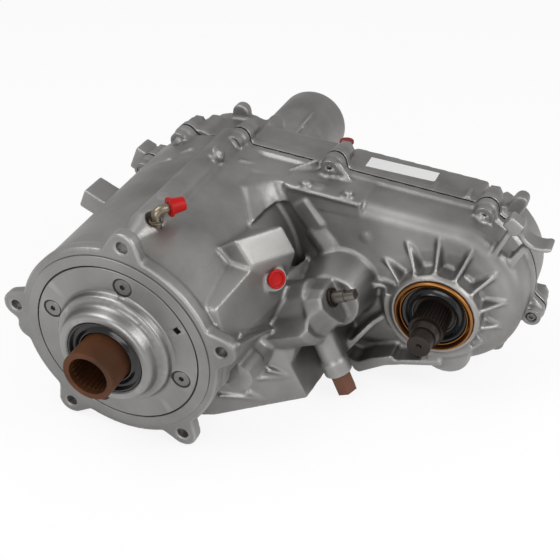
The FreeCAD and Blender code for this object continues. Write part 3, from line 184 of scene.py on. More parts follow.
def new_material(name: str) -> tuple:
    """Starts a node material.

    Args:
        name: its name.

    Returns:
        The material, its principled shader, its nodes and its links.
    """
    material = bpy.data.materials.new(name)
    material.use_nodes = True
    nodes = material.node_tree.nodes
    return material, nodes["Principled BSDF"], nodes, material.node_tree.links


def add_node(
    nodes: bpy.types.Nodes, kind: str, inputs: dict[str | int, object] | None = None,
    **settings: object,
) -> bpy.types.Node:
    """Adds a shader node.

    Args:
        nodes: the nodes of a material or world.
        kind: its type, without the words before it.
        inputs: values of its sockets.
        **settings: its own settings, made before the sockets' values.

    Returns:
        The node.
    """
    node = nodes.new("ShaderNode" + kind)
    for key, value in settings.items():
        setattr(node, key, value)
    for socket, value in (inputs or {}).items():
        node.inputs[socket].default_value = value
    return node


def noise(
    nodes: bpy.types.Nodes, links: bpy.types.NodeLinks, place: bpy.types.Node,
    scale: float, detail: float,
) -> bpy.types.Node:
    """Adds a noise that is fixed to the object.

    Args:
        nodes: the material's nodes.
        links: the material's links.
        place: its texture coordinates.
        scale: cells per metre.
        detail: octaves.

    Returns:
        The noise node.
    """
    texture = add_node(nodes, "TexNoise", {"Scale": scale, "Detail": detail})
    links.new(place.outputs["Object"], texture.inputs["Vector"])
    return texture


def bump_from(
    nodes: bpy.types.Nodes, links: bpy.types.NodeLinks, place: bpy.types.Node,
    shader: bpy.types.Node, scale: float, height: float,
) -> None:
    """Gives the shader a grain.

    Args:
        nodes: the material's nodes.
        links: the material's links.
        place: its texture coordinates.
        shader: the principled shader.
        scale: cells per metre.
        height: strength of the bump.
    """
    texture = noise(nodes, links, place, scale, 3.0)
    bump = add_node(nodes, "Bump", {"Strength": height, "Distance": 0.4 * MM})
    links.new(texture.outputs["Fac"], bump.inputs["Height"])
    links.new(bump.outputs["Normal"], shader.inputs["Normal"])


class Finish(Enum):
    """Every finish on the transfer case."""

    # A metal finish's eighth value is the strength of its painted edge highlight and painted
    # crease shade.
    CASTING = MetalFinish(
        "cast aluminium", (0.350, 0.342, 0.332), (0.225, 0.218, 0.209), 0.44,
        Surface.CAST, 0.5, 1.0, 0.45,
    )
    MACHINED = MetalFinish(
        "machined aluminium", (0.32, 0.315, 0.305), (0.22, 0.215, 0.21), 0.38,
        Surface.BLASTED, 0.18, 1.0, 0.15,
    )
    RUST = MetalFinish(
        "rusty steel", (0.128, 0.043, 0.014), (0.044, 0.017, 0.007), 0.55,
        Surface.CAST, 0.30, 0.25, 0.0, 0.25,
    )
    DARK_STEEL = MetalFinish(
        "oily dark steel", (0.060, 0.047, 0.042), (0.026, 0.021, 0.019), 0.34,
        Surface.TURNED, 0.10, 0.9,
    )
    BARE_STEEL = MetalFinish(
        "bare steel", (0.20, 0.185, 0.165), (0.10, 0.092, 0.083), 0.30,
        Surface.TURNED, 0.10, 1.0,
    )
    ZINC = MetalFinish(
        "zinc plated steel", (0.34, 0.33, 0.31), (0.22, 0.21, 0.195), 0.32,
        Surface.TURNED, 0.08, 1.0,
    )
    GEAR = MetalFinish(
        "gear steel", (0.36, 0.355, 0.35), (0.26, 0.255, 0.25), 0.30,
        Surface.TURNED, 0.06, 1.0,
    )
    BEARING = MetalFinish(
        "bearing steel", (0.56, 0.56, 0.57), (0.48, 0.48, 0.49), 0.24,
        Surface.SMOOTH, 0.04, 1.0,
    )
    AMBER = MetalFinish(
        "amber steel", (0.36, 0.155, 0.040), (0.17, 0.066, 0.020), 0.28,
        Surface.TURNED, 0.08, 0.85,
    )
    BRONZE = MetalFinish(
        "bronze", (0.52, 0.34, 0.15), (0.38, 0.24, 0.11), 0.34,
        Surface.TURNED, 0.08, 1.0,
    )
    FACED = MetalFinish(
        "faced aluminium", (0.275, 0.272, 0.265), (0.215, 0.212, 0.206), 0.40,
        Surface.BLASTED, 0.12, 1.0, 0.10,
    )
    CAST_COVER = MetalFinish(
        "cast cover", (0.31, 0.307, 0.30), (0.23, 0.227, 0.22), 0.36,
        Surface.CAST, 0.25, 1.0, 0.25,
    )
    SCREW = MetalFinish(
        "screw steel", (0.21, 0.205, 0.195), (0.13, 0.127, 0.12), 0.36,
        Surface.TURNED, 0.12, 1.0, 0.2,
    )
    TUBE = MetalFinish(
        "tube steel", (0.24, 0.205, 0.155), (0.11, 0.090, 0.068), 0.30,
        Surface.TURNED, 0.12, 1.0,
    )
    BROWN = MetalFinish(
        "brown steel", (0.135, 0.056, 0.034), (0.066, 0.029, 0.019), 0.50,
        Surface.BLASTED, 0.2, 0.2, 0.2, 0.3,
    )
    # Near-black finish for sheets set into gaps and seats as painted shade.
    SHADE = PlainFinish("painted groove shade", (0.014, 0.013, 0.012), 0.55, 0.1)
    GLOSS_RUBBER = PlainFinish("oiled rubber", (0.006, 0.006, 0.007), 0.16, 0.03)
    LABEL = PlainFinish("white plate", (0.62, 0.62, 0.62), 0.45, 0.02)
    RUBBER = PlainFinish("black rubber", (0.012, 0.012, 0.012), 0.34, 0.05)
    SEALANT = PlainFinish("black sealant", (0.012, 0.012, 0.013), 0.50, 0.25)
    DARK_RED = PlainFinish("dark red plastic", (0.15, 0.005, 0.005), 0.40, 0.05, 0.3)
    RED = PlainFinish("red plastic", (0.37, 0.003, 0.002), 0.42, 0.05, 0.2)


FINISHES: dict[Finish, bpy.types.Material] = {}


def dress(obj: Piece, finish: Finish, more: bool = False) -> None:
    """Gives an object one finish.

    Args:
        obj: the object.
        finish: its finish.
        more: whether it comes after the finishes that the object has.
    """
    if finish not in FINISHES:
        FINISHES[finish] = finish.value.build()
    if not more:
        obj.data.materials.clear()
    obj.data.materials.append(FINISHES[finish])


# Modelling helpers


def only(obj: Piece) -> None:
    """Selects one object alone and makes it active.

    Args:
        obj: the object.
    """
    bpy.ops.object.select_all(action="DESELECT")
    obj.hide_viewport = False
    obj.select_set(True)
    bpy.context.view_layer.objects.active = obj


@contextmanager
def edit_mode(obj: Piece) -> Iterator[None]:
    """Opens an object's whole mesh for editing, and closes it at the end.

    Args:
        obj: the object.
    """
    only(obj)
    bpy.ops.object.mode_set(mode="EDIT")
    bpy.ops.mesh.select_all(action="SELECT")
    yield
    bpy.ops.object.mode_set(mode="OBJECT")


def outline_of(name: str, corners: int) -> Piece:
    """Adds a ring of corners, to be put in their places.

    Args:
        name: the object's name.
        corners: how many.

    Returns:
        The ring.
    """
    bpy.ops.object.select_all(action="DESELECT")
    bpy.ops.mesh.primitive_circle_add(vertices=corners, fill_type="NOTHING")
    obj = bpy.context.object
    obj.name = name
    return obj


def copy_of(node: str, name: str) -> Piece:
    """Copies a CAD node's mesh and joins its loose triangles.

    Args:
        node: the CAD node.
        name: the new object's name.

    Returns:
        The merged copy.
    """
    source = NODES[node]
    obj = bpy.data.objects.new(name, source.data.copy())
    bpy.context.collection.objects.link(obj)
    with edit_mode(obj):
        bpy.ops.mesh.remove_doubles(threshold=0.01 * MM)
    return obj


def add_modifier(obj: Piece, kind: str, **values: object) -> None:
    """Adds one modifier and applies it.

    Args:
        obj: the object.
        kind: the modifier's type.
        **values: its settings.
    """
    only(obj)
    modifier = obj.modifiers.new(kind.lower(), kind)
    for key, value in values.items():
        setattr(modifier, key, value)
    bpy.ops.object.modifier_apply(modifier=modifier.name)


def triangles(obj: Piece) -> int:
    """Counts an object's triangles.

    Args:
        obj: the object.

    Returns:
        The count.
    """
    return sum(len(p.vertices) - 2 for p in obj.data.polygons)


def close_up(obj: Piece) -> Piece:
    """Merges an object's doubles and turns its faces outwards.

    Args:
        obj: the object.

    Returns:
        The same object.
    """
    with edit_mode(obj):
        bpy.ops.mesh.remove_doubles(threshold=0.001 * MM)
        bpy.ops.mesh.normals_make_consistent(inside=False)
    return obj


def polar(centre: Point, r: float, degrees: float, y: float = 0.0) -> Vector:
    """Places a point by its radius and angle round an axis along Y.

    Args:
        centre: the axis as (x, z) in millimetres.
        r: radius in millimetres.
        degrees: angle from X towards Z.
        y: place along Y in millimetres.

    Returns:
        The point, in millimetres.
    """
    angle = math.radians(degrees)
    return Vector((centre[0] + r * math.cos(angle), y, centre[1] + r * math.sin(angle)))


def lathe(
    name: str, outline: list[Point], centre: Point = (0.0, 0.0), steps: int = 96
) -> Piece:
    """Turns a closed outline round an axis that runs along Y.

    Args:
        name: the object's name.
        outline: corners as (radius, y) in millimetres.
        centre: the axis as (x, z) in millimetres.
        steps: flats round the axis.

    Returns:
        The closed turned object.
    """
    obj = outline_of(name, len(outline))
    x, z = centre
    for vertex, (r, y) in zip(obj.data.vertices, outline):
        vertex.co = ((x + r) * MM, y * MM, z * MM)
    with edit_mode(obj):
        bpy.ops.mesh.spin(steps=steps, angle=2 * math.pi, center=(x * MM, 0.0, z * MM),
                          axis=(0.0, 1.0, 0.0))
    return close_up(obj)


def solid_between(name: str, low: list[Vector], high: list[Vector]) -> Piece:
    """Makes a solid between two outlines with as many corners.

    Args:
        name: the object's name.
        low: corners of one end, in metres.
        high: corners of the other end, in metres.

    Returns:
        The closed solid.
    """
    bpy.ops.object.select_all(action="DESELECT")
    bpy.ops.mesh.primitive_cylinder_add(vertices=len(low), end_fill_type="NGON")
    obj = bpy.context.object
    obj.name = name
    for i, (near, far) in enumerate(zip(low, high)):
        obj.data.vertices[2 * i].co = near
        obj.data.vertices[2 * i + 1].co = far
    return close_up(obj)


def bar(
    name: str, start: Vector, end: Vector, up: Vector, width: float, height: float,
    sink: float = 3.0, end_width: float | None = None, end_height: float | None = None,
) -> Piece:
    """Makes a rib whose foot is sunk into the surface below it.

    Args:
        name: the object's name.
        start: foot of one end, in metres.
        end: foot of the other end, in metres.
        up: direction away from the surface.
        width: width in millimetres at the start.
        height: height in millimetres at the start.
        sink: depth of the foot below the surface in millimetres.
        end_width: width at the end, or None for the same.
        end_height: height at the end, or None for the same.

    Returns:
        The rib.
    """
    foot, crest = 0.65, 0.35
    up = up.normalized()
    side = (end - start).cross(up).normalized()
    low, high = (
        [
            at + side * wide * foot * MM - up * sink * MM,
            at + side * wide * crest * MM + up * high * MM,
            at - side * wide * crest * MM + up * high * MM,
            at - side * wide * foot * MM - up * sink * MM,
        ]
        for at, wide, high in (
            (start, width, height),
            (end, end_width or width, height if end_height is None else end_height),
        )
    )
    return solid_between(name, low, high)


def disc(name: str, at: Vector, up: Vector, radius: float, height: float) -> Piece:
    """Makes a low round pad whose foot is sunk into the surface below it.

    Args:
        name: the object's name.
        at: the foot's centre, in metres.
        up: direction away from the surface.
        radius: radius in millimetres.
        height: height in millimetres.

    Returns:
        The pad.
    """
    sink = 3.0
    top = height + sink
    obj = lathe(name, [(0, 0), (radius, 0), (radius, top), (0, top)], steps=32)
    turn = Vector((0, 1, 0)).rotation_difference(up.normalized()).to_matrix().to_4x4()
    obj.data.transform(Matrix.Translation(at - up.normalized() * sink * MM) @ turn)
    return obj


def join(pieces: list[Piece], name: str) -> Piece:
    """Joins objects into the first one.

    Args:
        pieces: the objects.
        name: the result's name.

    Returns:
        The joined object.
    """
    bpy.ops.object.select_all(action="DESELECT")
    for piece in pieces:
        piece.select_set(True)
    bpy.context.view_layer.objects.active = pieces[0]
    bpy.ops.object.join()
    pieces[0].name = name
    return pieces[0]


def carve(obj: Piece, cutters: list[Piece]) -> None:
    """Cuts the shapes of other objects out of one and removes them.

    Args:
        obj: the object that is cut.
        cutters: closed objects that don't cross each other.
    """
    tool = join(cutters, "cutter")
    add_modifier(obj, "BOOLEAN", operation="DIFFERENCE", object=tool, solver="EXACT")
    bpy.data.objects.remove(tool, do_unlink=True)


def flat_merge(obj: Piece) -> None:
    """Joins the triangles of flat faces, so that their edges can be rounded.

    Args:
        obj: the object.
    """
    with edit_mode(obj):
        bpy.ops.mesh.dissolve_limited(angle_limit=math.radians(1.0))


def break_edges(obj: Piece, width: float, sharp: float, segments: int = 2) -> None:
    """Rounds an object's sharp edges.

    Args:
        obj: the object.
        width: the rounding in millimetres.
        sharp: edges sharper than this many degrees are rounded.
        segments: steps across the rounding.
    """
    add_modifier(obj, "BEVEL", width=width * MM, segments=segments, limit_method="ANGLE",
                 angle_limit=math.radians(sharp))


def settle(
    obj: Piece, finish: Finish, body: str, *nodes: str, crease: float = 32.0
) -> Piece:
    """Smooths and dresses a piece and hangs it on its body.

    Args:
        obj: the object.
        finish: its finish.
        body: the CAD body that it rides on.
        *nodes: the CAD nodes that it stands for.
        crease: edges sharper than this many degrees stay hard.

    Returns:
        The same object.
    """
    only(obj)
    bpy.ops.object.shade_smooth_by_angle(angle=math.radians(crease))
    if triangles(obj) < WEIGHTED_LIMIT:
        add_modifier(obj, "WEIGHTED_NORMAL", keep_sharp=True)
    dress(obj, finish)
    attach(obj, body)
    if nodes:
        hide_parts(*nodes)
    log.info("%s: %d triangles", obj.name, triangles(obj))
    return obj


class Sight:
    """Finds the place on a CAD node that a point of the photograph shows."""

    def line(self, x: float, y: float) -> Vector:
        """Gives the direction of one line of sight, one metre long ahead.

        Args:
            x: pixels from the photograph's left edge.
            y: pixels from its top edge.

        Returns:
            The direction.
        """
        right, down, ahead = VIEW_AXES
        middle = FRAME_PX / 2
        return ahead + right * (x - middle) / FOCAL_PX + down * (y - middle) / FOCAL_PX

    def hit(self, x: float, y: float, node: str = "front_case") -> tuple[Vector, Vector]:
        """Follows one line of sight to a CAD node.

        Args:
            x: pixels from the photograph's left edge.
            y: pixels from its top edge.
            node: the CAD node.

        Returns:
            The place and the surface's normal.
        """
        found, place, normal, _ = NODES[node].ray_cast(CAMERA_AT, self.line(x, y).normalized())
        if not found:
            raise ValueError(f"nothing of {node} lies behind pixel {x}, {y}")
        return place.copy(), normal.copy()

    def at_depth(self, x: float, y: float, depth: float) -> Vector:
        """Follows one line of sight to a plane across the case.

        Args:
            x: pixels from the photograph's left edge.
            y: pixels from its top edge.
            depth: the plane's place along Y in millimetres.

        Returns:
            The place.
        """
        line = self.line(x, y)
        return CAMERA_AT + line * ((depth * MM - CAMERA_AT.y) / line.y)


# Castings


@dataclass
class Casting:
    """A cast housing, with the soft fillets that its pattern leaves.

    Args:
        node: the CAD node.
        body: the CAD body that it rides on.
        voxel: edge of the cells that its skin is rebuilt from.
        fillet: radius that fills the inner corners.
        soften: passes that round the outer edges.
        limit: most triangles.
        finish: its finish.
    """

    node: str
    body: str = "case"
    voxel: float = 1.2 * MM
    fillet: float = 2.2 * MM
    soften: int = 2
    limit: int = 190000
    finish: Finish = Finish.CASTING

    def relief(self) -> list[Piece]:
        """Makes the small cast forms that are added before the skin is rebuilt.

        Returns:
            The forms, none for a plain casting.
        """
        return []

    def trims(self) -> list[Piece]:
        """Makes the shapes that are cut away before the skin is rebuilt.

        Returns:
            The cutters, none for a plain casting.
        """
        return []

    def cutters(self) -> list[list[Piece]]:
        """Makes the shapes that are machined out of the finished skin.

        Returns:
            The cutters of each cut in turn, none for a plain casting.
        """
        return []

    def build(self) -> Piece:
        """Rebuilds the skin and puts it in the CAD node's place.

        Returns:
            The finished casting.
        """
        obj = copy_of(self.node, self.node + "_skin")
        trims = self.trims()
        if trims:
            carve(obj, trims)
        obj = join([obj, *self.relief()], self.node + "_skin")
        cell = self.voxel * 1.0
        self.rebuild(obj, cell)
        for step in (self.fillet, -self.fillet):
            add_modifier(obj, "DISPLACE", strength=step, mid_level=0.0)
            self.rebuild(obj, cell)
        add_modifier(obj, "SMOOTH", factor=0.5, iterations=self.soften)
        count = triangles(obj)
        if count > self.limit:
            add_modifier(obj, "DECIMATE", ratio=self.limit / count)
        for group in self.cutters():
            carve(obj, group)
        return settle(obj, self.finish, self.body, self.node, crease=40.0)

    def rebuild(self, obj: Piece, cell: float) -> None:
        """Rebuilds the mesh from even cells.

        Args:
            obj: the object.
            cell: the cells' edge.
        """
        add_modifier(obj, "REMESH", mode="VOXEL", voxel_size=cell, adaptivity=0.0)


@dataclass
class FrontCasting(Casting):
    """The front case half, with its machined flange and the ribs of its sump."""

    node: str = "front_case"
    sight: Sight = field(default_factory=Sight)
    pilot_r: float = PILOT_R
    hole_r: float = 5.5
    hole_pitch_r: float = 108.0
    hole_angles: tuple[float, ...] = (172.8, 81.6, 11.8, -55.6, -124.3)
    output_at: Point = OUTPUT_AT
    output_y: float = OUTPUT_FACE_Y
    wall_y: float = 185.0
    hub_r: float = 42.4
    rail_at: Point = (101.5, -40.5)
    rail_boss_r: float = 13.2
    lowest: float = -103.0 * MM
    fin_angle: float = 148.0
    fin_step: float = 26.3
    fins: int = 12

    def relief(self) -> list[Piece]:
        """Makes the flange's allowance and the cast ribs, pads and seams.

        Returns:
            The forms.
        """
        return [self.flange_allowance(), self.valley_floor(), *self.ribs(), *self.pads(),
                *self.output_fins(), self.sump_shoulder(), *self.lip(), self.rail_end()]

    def hull(self, name: str, corners: list[Vector]) -> Piece:
        """Makes the convex solid that holds some corners.

        Args:
            name: the object's name.
            corners: its corners, in metres.

        Returns:
            The solid.
        """
        obj = outline_of(name, len(corners))
        for vertex, place in zip(obj.data.vertices, corners):
            vertex.co = place
        with edit_mode(obj):
            bpy.ops.mesh.convex_hull()
        return close_up(obj)

    def sump_shoulder(self) -> Piece:
        """Makes the sump's sloping upper face below the shift shaft.

        The forks' and the sector's rooms inside the case are left free.

        Returns:
            The solid that carries it.
        """
        sight = self.sight
        corners = [
            Vector(v) * MM for v in (
                (108.0, 100.5, -17.0), (128.0, 106.2, -64.0), (104.0, 150.0, 12.0),
                (112.0, 185.0, 10.0), (112.0, 185.0, -50.0), (100.0, 130.0, -50.0),
            )
        ]
        corners += [
            sight.at_depth(316, 327, 147.0), sight.at_depth(309, 306, 140.0),
            sight.at_depth(298, 300, 135.0),
        ]
        block = self.hull("sump_shoulder", corners)
        for name, back, wide, low, high in (
            ("fork_room", 205.0, 114.5, -70.0, -8.0),
            ("sector_room", 148.0, 140.0, -46.0, 0.0),
        ):
            near, far = (
                [Vector((x, y, z)) * MM for x, z in (
                    (80.0, low), (wide, low), (wide, high), (80.0, high))]
                for y in (111.0, back)
            )
            carve(block, [solid_between(name, near, far)])
        return block

    def lip(self) -> list[Piece]:
        """Makes the wall and the turned edge under the chain case.

        Returns:
            The solids.
        """
        made = []
        for name, front, back, outline in (
            ("lip_wall", 187.0, 205.0, ((336, 348), (352, 369), (384, 362), (398, 340),
                                        (384, 318), (352, 316))),
            ("lip_edge", 163.0, 204.0, ((346, 358), (354.5, 371), (367, 368), (392, 363.5),
                                        (392, 356), (369, 358.5), (357, 362))),
        ):
            low = [self.sight.at_depth(x, y, front) for x, y in outline]
            for corner in low:
                corner.z = max(corner.z, self.lowest)
            high = [v + Vector((0, (back - front) * MM, 0)) for v in low]
            made.append(solid_between(name, low, high))
        return made

    def rail_end(self) -> Piece:
        """Makes the round end of the shift rail's boss, to be faced crisp.

        Returns:
            The boss.
        """
        r = self.rail_boss_r
        return lathe("rail_end", [(0, 41.0), (r, 41.0), (r, 72.0), (0, 72.0)], self.rail_at, 64)

    def trims(self) -> list[Piece]:
        """Makes the cut that slims the front output's hub.

        Returns:
            The cutter.
        """
        front, wall, hub = self.output_y, self.wall_y, self.hub_r
        nose = lathe("nose_trim", [
            (hub, front - 6), (hub, front + 1), (hub + 0.8, front + 4.2), (50.0, front + 4.2),
            (50.0, front - 6),
        ], self.output_at, 96)
        outline = [(hub + 1.0, a) for a in range(-36, 172, 6)]
        outline += [(60.0, a) for a in range(168, -42, -6)]
        low, high = (
            [polar(self.output_at, r, a, y) * MM for r, a in outline]
            for y in (front + 4.1, wall - 0.2)
        )
        return [join([nose, solid_between("shoulder_trim", low, high)], "hub_trim")]

    def output_fins(self) -> list[Piece]:
        """Makes the thin gussets round the front output's hub.

        Returns:
            The gussets.
        """
        made = []
        for i in range(self.fins):
            angle = self.fin_angle - i * self.fin_step
            lean = math.cos(math.radians(angle - 95.0))
            tip = 58.5 + (7.0 + 9.0 * lean if angle > -50 else 4.0)
            made.append(self.fin(f"fin_{i}", math.radians(angle), tip))
        return made

    def fin(self, name: str, angle: float, tip: float) -> Piece:
        """Makes one gusset that narrows towards its crest.

        Args:
            name: the object's name.
            angle: its direction round the output, in radians.
            tip: radius at which it meets the wall, in millimetres.

        Returns:
            The gusset.
        """
        out = Vector((math.cos(angle), 0, math.sin(angle)))
        side = Vector((-math.sin(angle), 0, math.cos(angle)))
        base = Vector((self.output_at[0], 0, self.output_at[1]))
        corners = (
            (self.hub_r - 2.5, self.output_y + 2.5, 1.2), (tip, self.wall_y - 0.5, 1.2),
            (tip + 1.0, self.wall_y + 4.0, 3.4), (self.hub_r - 2.5, self.wall_y + 4.0, 4.4),
        )
        low, high = (
            [(base + out * r + side * half * turn + Vector((0, y, 0))) * MM
             for r, y, half in corners]
            for turn in (-1, 1)
        )
        return solid_between(name, low, high)

    def valley_floor(self) -> Piece:
        """Makes the floor of the valley between the housing and the chain case.

        Returns:
            The floor.
        """
        outline = [(98.0, 4.0, a) for a in range(-12, 48, 4)]
        outline += [(127.0, 0.6, a) for a in range(44, -16, -4)]
        low, high = (
            [polar((0.0, 0.0), r, a, self.wall_y + (fall if near else 21.0)) * MM
             for r, fall, a in outline]
            for near in (True, False)
        )
        return solid_between("valley_floor", low, high)

    def flange_allowance(self) -> Piece:
        """Copies the flange's front face forwards, so that it can be cut back crisp.

        Returns:
            The allowance.
        """
        obj = copy_of(self.node, "allowance")
        for face in obj.data.polygons:
            corners = [obj.data.vertices[k].co.y for k in face.vertices]
            face.select = face.normal.y > -0.99 or max(abs(y) for y in corners) > 0.05 * MM
        bpy.ops.object.mode_set(mode="EDIT")
        bpy.ops.mesh.select_mode(type="FACE")
        bpy.ops.mesh.delete(type="FACE")
        bpy.ops.object.mode_set(mode="OBJECT")
        add_modifier(obj, "SOLIDIFY", thickness=6.0 * MM, offset=0.0)
        return close_up(obj)

    def ribs(self) -> list[Piece]:
        """Makes the ribs that the photograph shows, each between two of its points.

        Returns:
            The ribs.
        """
        lines = (
            ("housing_rib", (236, 344), (268, 329), 4.0, 5.0, 4.0, 5.0),
            ("sump_rib_upper", (266, 368), (291, 376), 6.0, 6.0, 1.5, 0.5),
            ("sump_rib_mid", (258, 378), (291, 377), 3.0, 3.0, 2.0, 0.5),
            ("sump_rib_low", (218, 393), (267, 400), 4.0, 6.0, 2.0, 0.5),
            ("sump_rib_fork", (248, 391), (267, 400), 3.0, 4.0, 2.0, 0.5),
            ("seam_gusset_front", (236, 145), (256, 162), 4.5, 4.0, 3.0, 1.0),
            ("seam_gusset_foot", (240, 161), (256, 163), 3.0, 2.6, 3.0, 1.0),
            ("boss_gusset_left", (290, 170), (317, 165), 3.0, 1.5, 5.0, 7.0),
            ("boss_gusset_right", (351, 181), (338, 164), 3.0, 1.5, 5.0, 3.0),
            ("housing_gusset_left", (159, 163), (172, 159), 5.0, 1.5, 5.0, 3.0),
            ("housing_gusset_right", (181, 153), (194, 149), 5.0, 1.5, 5.0, 3.0),
            ("pad_edge", (288, 187), (358, 205), 3.0, 1.4, 3.0, 1.4),
            ("valley_ridge_upper", (299, 202), (317, 228), 20.0, 2.2, 22.0, 2.6),
            ("valley_ridge_lower", (316, 227), (331, 250), 22.0, 2.6, 20.0, 2.2),
        )
        made = []
        for name, a, b, wide, high, end_wide, end_high in lines:
            start, up = self.sight.hit(*a)
            end, up_end = self.sight.hit(*b)
            made.append(bar(name, start, end, up + up_end, wide, high,
                            end_width=end_wide, end_height=end_high))
        return made

    def pads(self) -> list[Piece]:
        """Makes the small round cast marks, left bare.

        Returns:
            The pads.
        """
        made = []
        for name, at, radius, height in (
            ("wall_spot", (365, 237), 4.2, 0.9),
            ("top_spot", (163, 196), 5.5, 0.9),
            ("pad_bump_left", (305.5, 183), 4.6, 2.4),
            ("pad_bump_right", (348.5, 193), 4.6, 2.4),
            ("ridge_ball_foot", (218, 153), 8.0, 2.6),
            ("ridge_ball", (218, 152), 5.4, 4.6),
        ):
            place, up = self.sight.hit(*at)
            made.append(disc(name, place, up, radius, height))
        return made

    def cutters(self) -> list[list[Piece]]:
        """Makes the flange's facing cut with its register, and then its stud holes.

        Returns:
            The cutters of the two cuts.
        """
        register = self.pilot_r + 0.15
        facing = lathe("facing", [(0, -12), (160, -12), (160, 0), (register, 0),
                                  (register, 7.6), (0, 7.6)], steps=160)
        made = []
        for i, angle in enumerate(self.hole_angles):
            at = polar((0.0, 0.0), self.hole_pitch_r, angle).xz
            made.append(lathe(
                f"hole_{i}", [(0, -1), (self.hole_r + 1.7, -1), (self.hole_r, 0.7),
                              (self.hole_r, 14), (0, 14)], at, 40))
        r = self.rail_boss_r + 4.0
        made.append(lathe("rail_facing", [(0, 30.0), (r, 30.0), (r, 43.8), (0, 43.8)],
                          self.rail_at, 48))
        return [[facing], made]

    def build(self) -> Piece:
        """Rebuilds the skin and gives its faced flange the machined finish.

        Returns:
            The finished casting.
        """
        obj = super().build()
        dress(obj, Finish.FACED, more=True)
        for face in obj.data.polygons:
            if abs(face.center.y) < 0.05 * MM and face.normal.y < -0.95:
                face.material_index = 1
        return obj


# Studio


@dataclass
class Studio:
    """Camera, floor, backdrop and lamps."""

    sensor: float = 36.0
    floor_z: float = -105.0 * MM

    def build(self) -> None:
        """Makes the whole studio."""
        bpy.context.scene.view_settings.view_transform = "Standard"
        self.add_camera()
        self.add_floor()
        self.add_world()
        self.add_lamps()

    def add_camera(self) -> None:
        """Puts the camera where the photograph was taken from."""
        right, down, ahead = VIEW_AXES
        data = bpy.data.cameras.new("camera")
        data.sensor_width = self.sensor
        data.lens = FOCAL_PX * self.sensor / FRAME_PX
        camera = bpy.data.objects.new("camera", data)
        bpy.context.collection.objects.link(camera)
        turn = Matrix((right, -down, -ahead)).transposed().to_4x4()
        camera.matrix_world = Matrix.Translation(CAMERA_AT) @ turn
        bpy.context.scene.camera = camera

    def add_floor(self) -> None:
        """Lays the white floor, which keeps a faint shadow of the case."""
        bpy.ops.object.select_all(action="DESELECT")
        bpy.ops.mesh.primitive_plane_add(size=12.0, location=(0.1, 0.2, self.floor_z))
        floor = bpy.context.object
        floor.name = "floor"
        material, shader, nodes, links = new_material("pale floor")
        shader.inputs["Base Color"].default_value = (0.85, 0.85, 0.85, 1)
        shader.inputs["Roughness"].default_value = 0.9
        glow = add_node(nodes, "Emission", {"Color": (1, 1, 1, 1)})
        blend = add_node(nodes, "MixShader")
        links.new(self.seen(nodes, links, 0.86, 0.25), blend.inputs["Fac"])
        links.new(shader.outputs["BSDF"], blend.inputs[1])
        links.new(glow.outputs["Emission"], blend.inputs[2])
        links.new(blend.outputs["Shader"], nodes["Material Output"].inputs["Surface"])
        floor.data.materials.append(material)

    def seen(
        self, nodes: bpy.types.Nodes, links: bpy.types.NodeLinks, direct: float, mirrored: float
    ) -> bpy.types.NodeSocket:
        """Works out how much of the white background a ray sees.

        Args:
            nodes: the nodes of a material or world.
            links: their links.
            direct: share for the camera and for rays through glass.
            mirrored: share for reflections.

        Returns:
            The socket that gives the share.
        """
        path = add_node(nodes, "LightPath")
        straight = add_node(nodes, "Math", operation="MAXIMUM")
        links.new(path.outputs["Is Camera Ray"], straight.inputs[0])
        links.new(path.outputs["Is Transmission Ray"], straight.inputs[1])
        scaled = add_node(nodes, "Math", {1: direct}, operation="MULTIPLY")
        links.new(straight.outputs["Value"], scaled.inputs[0])
        glossy = add_node(nodes, "Math", {1: mirrored}, operation="MULTIPLY")
        links.new(path.outputs["Is Glossy Ray"], glossy.inputs[0])
        total = add_node(nodes, "Math", operation="MAXIMUM")
        links.new(scaled.outputs["Value"], total.inputs[0])
        links.new(glossy.outputs["Value"], total.inputs[1])
        return total.outputs["Value"]

    def add_world(self) -> None:
        """Lights the scene evenly, with white behind it."""
        world = bpy.data.worlds.new("studio")
        bpy.context.scene.world = world
        world.use_nodes = True
        nodes, links = world.node_tree.nodes, world.node_tree.links
        back = nodes["Background"]
        back.inputs["Strength"].default_value = 1.0
        place = add_node(nodes, "TexCoord")
        split = add_node(nodes, "SeparateXYZ")
        links.new(place.outputs["Generated"], split.inputs["Vector"])
        ramp = add_node(nodes, "MapRange", {
            "From Min": -0.2, "From Max": 0.9, "To Min": 0.42, "To Max": 0.64})
        links.new(split.outputs["Z"], ramp.inputs["Value"])
        pick = add_node(nodes, "Mix", {"B": (1, 1, 1, 1)}, data_type="RGBA")
        links.new(ramp.outputs["Result"], pick.inputs["A"])
        links.new(self.seen(nodes, links, 1.0, 0.15), pick.inputs["Factor"])
        links.new(pick.outputs["Result"], back.inputs["Color"])

    def add_lamps(self) -> None:
        """Hangs the soft lamps."""
        self.lamp("key", (-0.5, -0.3, 1.3), (0.1, 0.1, 0.0), 0.9, 8.0)
        self.lamp("side", (1.3, 0.1, 0.8), (0.15, 0.1, 0.0), 0.8, 9.0)
        self.lamp("front", (0.2, -1.5, 0.5), (0.1, 0.0, 0.0), 0.9, 8.0)

    def lamp(self, name: str, at: tuple, to: tuple, size: float, power: float) -> None:
        """Adds one area lamp.

        Args:
            name: the lamp's name.
            at: its place.
            to: the point that it faces.
            size: its edge.
            power: its power in watts.
        """
        data = bpy.data.lights.new(name, "AREA")
        data.size = size
        data.energy = power
        lamp = bpy.data.objects.new(name, data)
        lamp.location = at
        lamp.rotation_euler = (Vector(to) - Vector(at)).to_track_quat("-Z", "Y").to_euler()
        bpy.context.collection.objects.link(lamp)


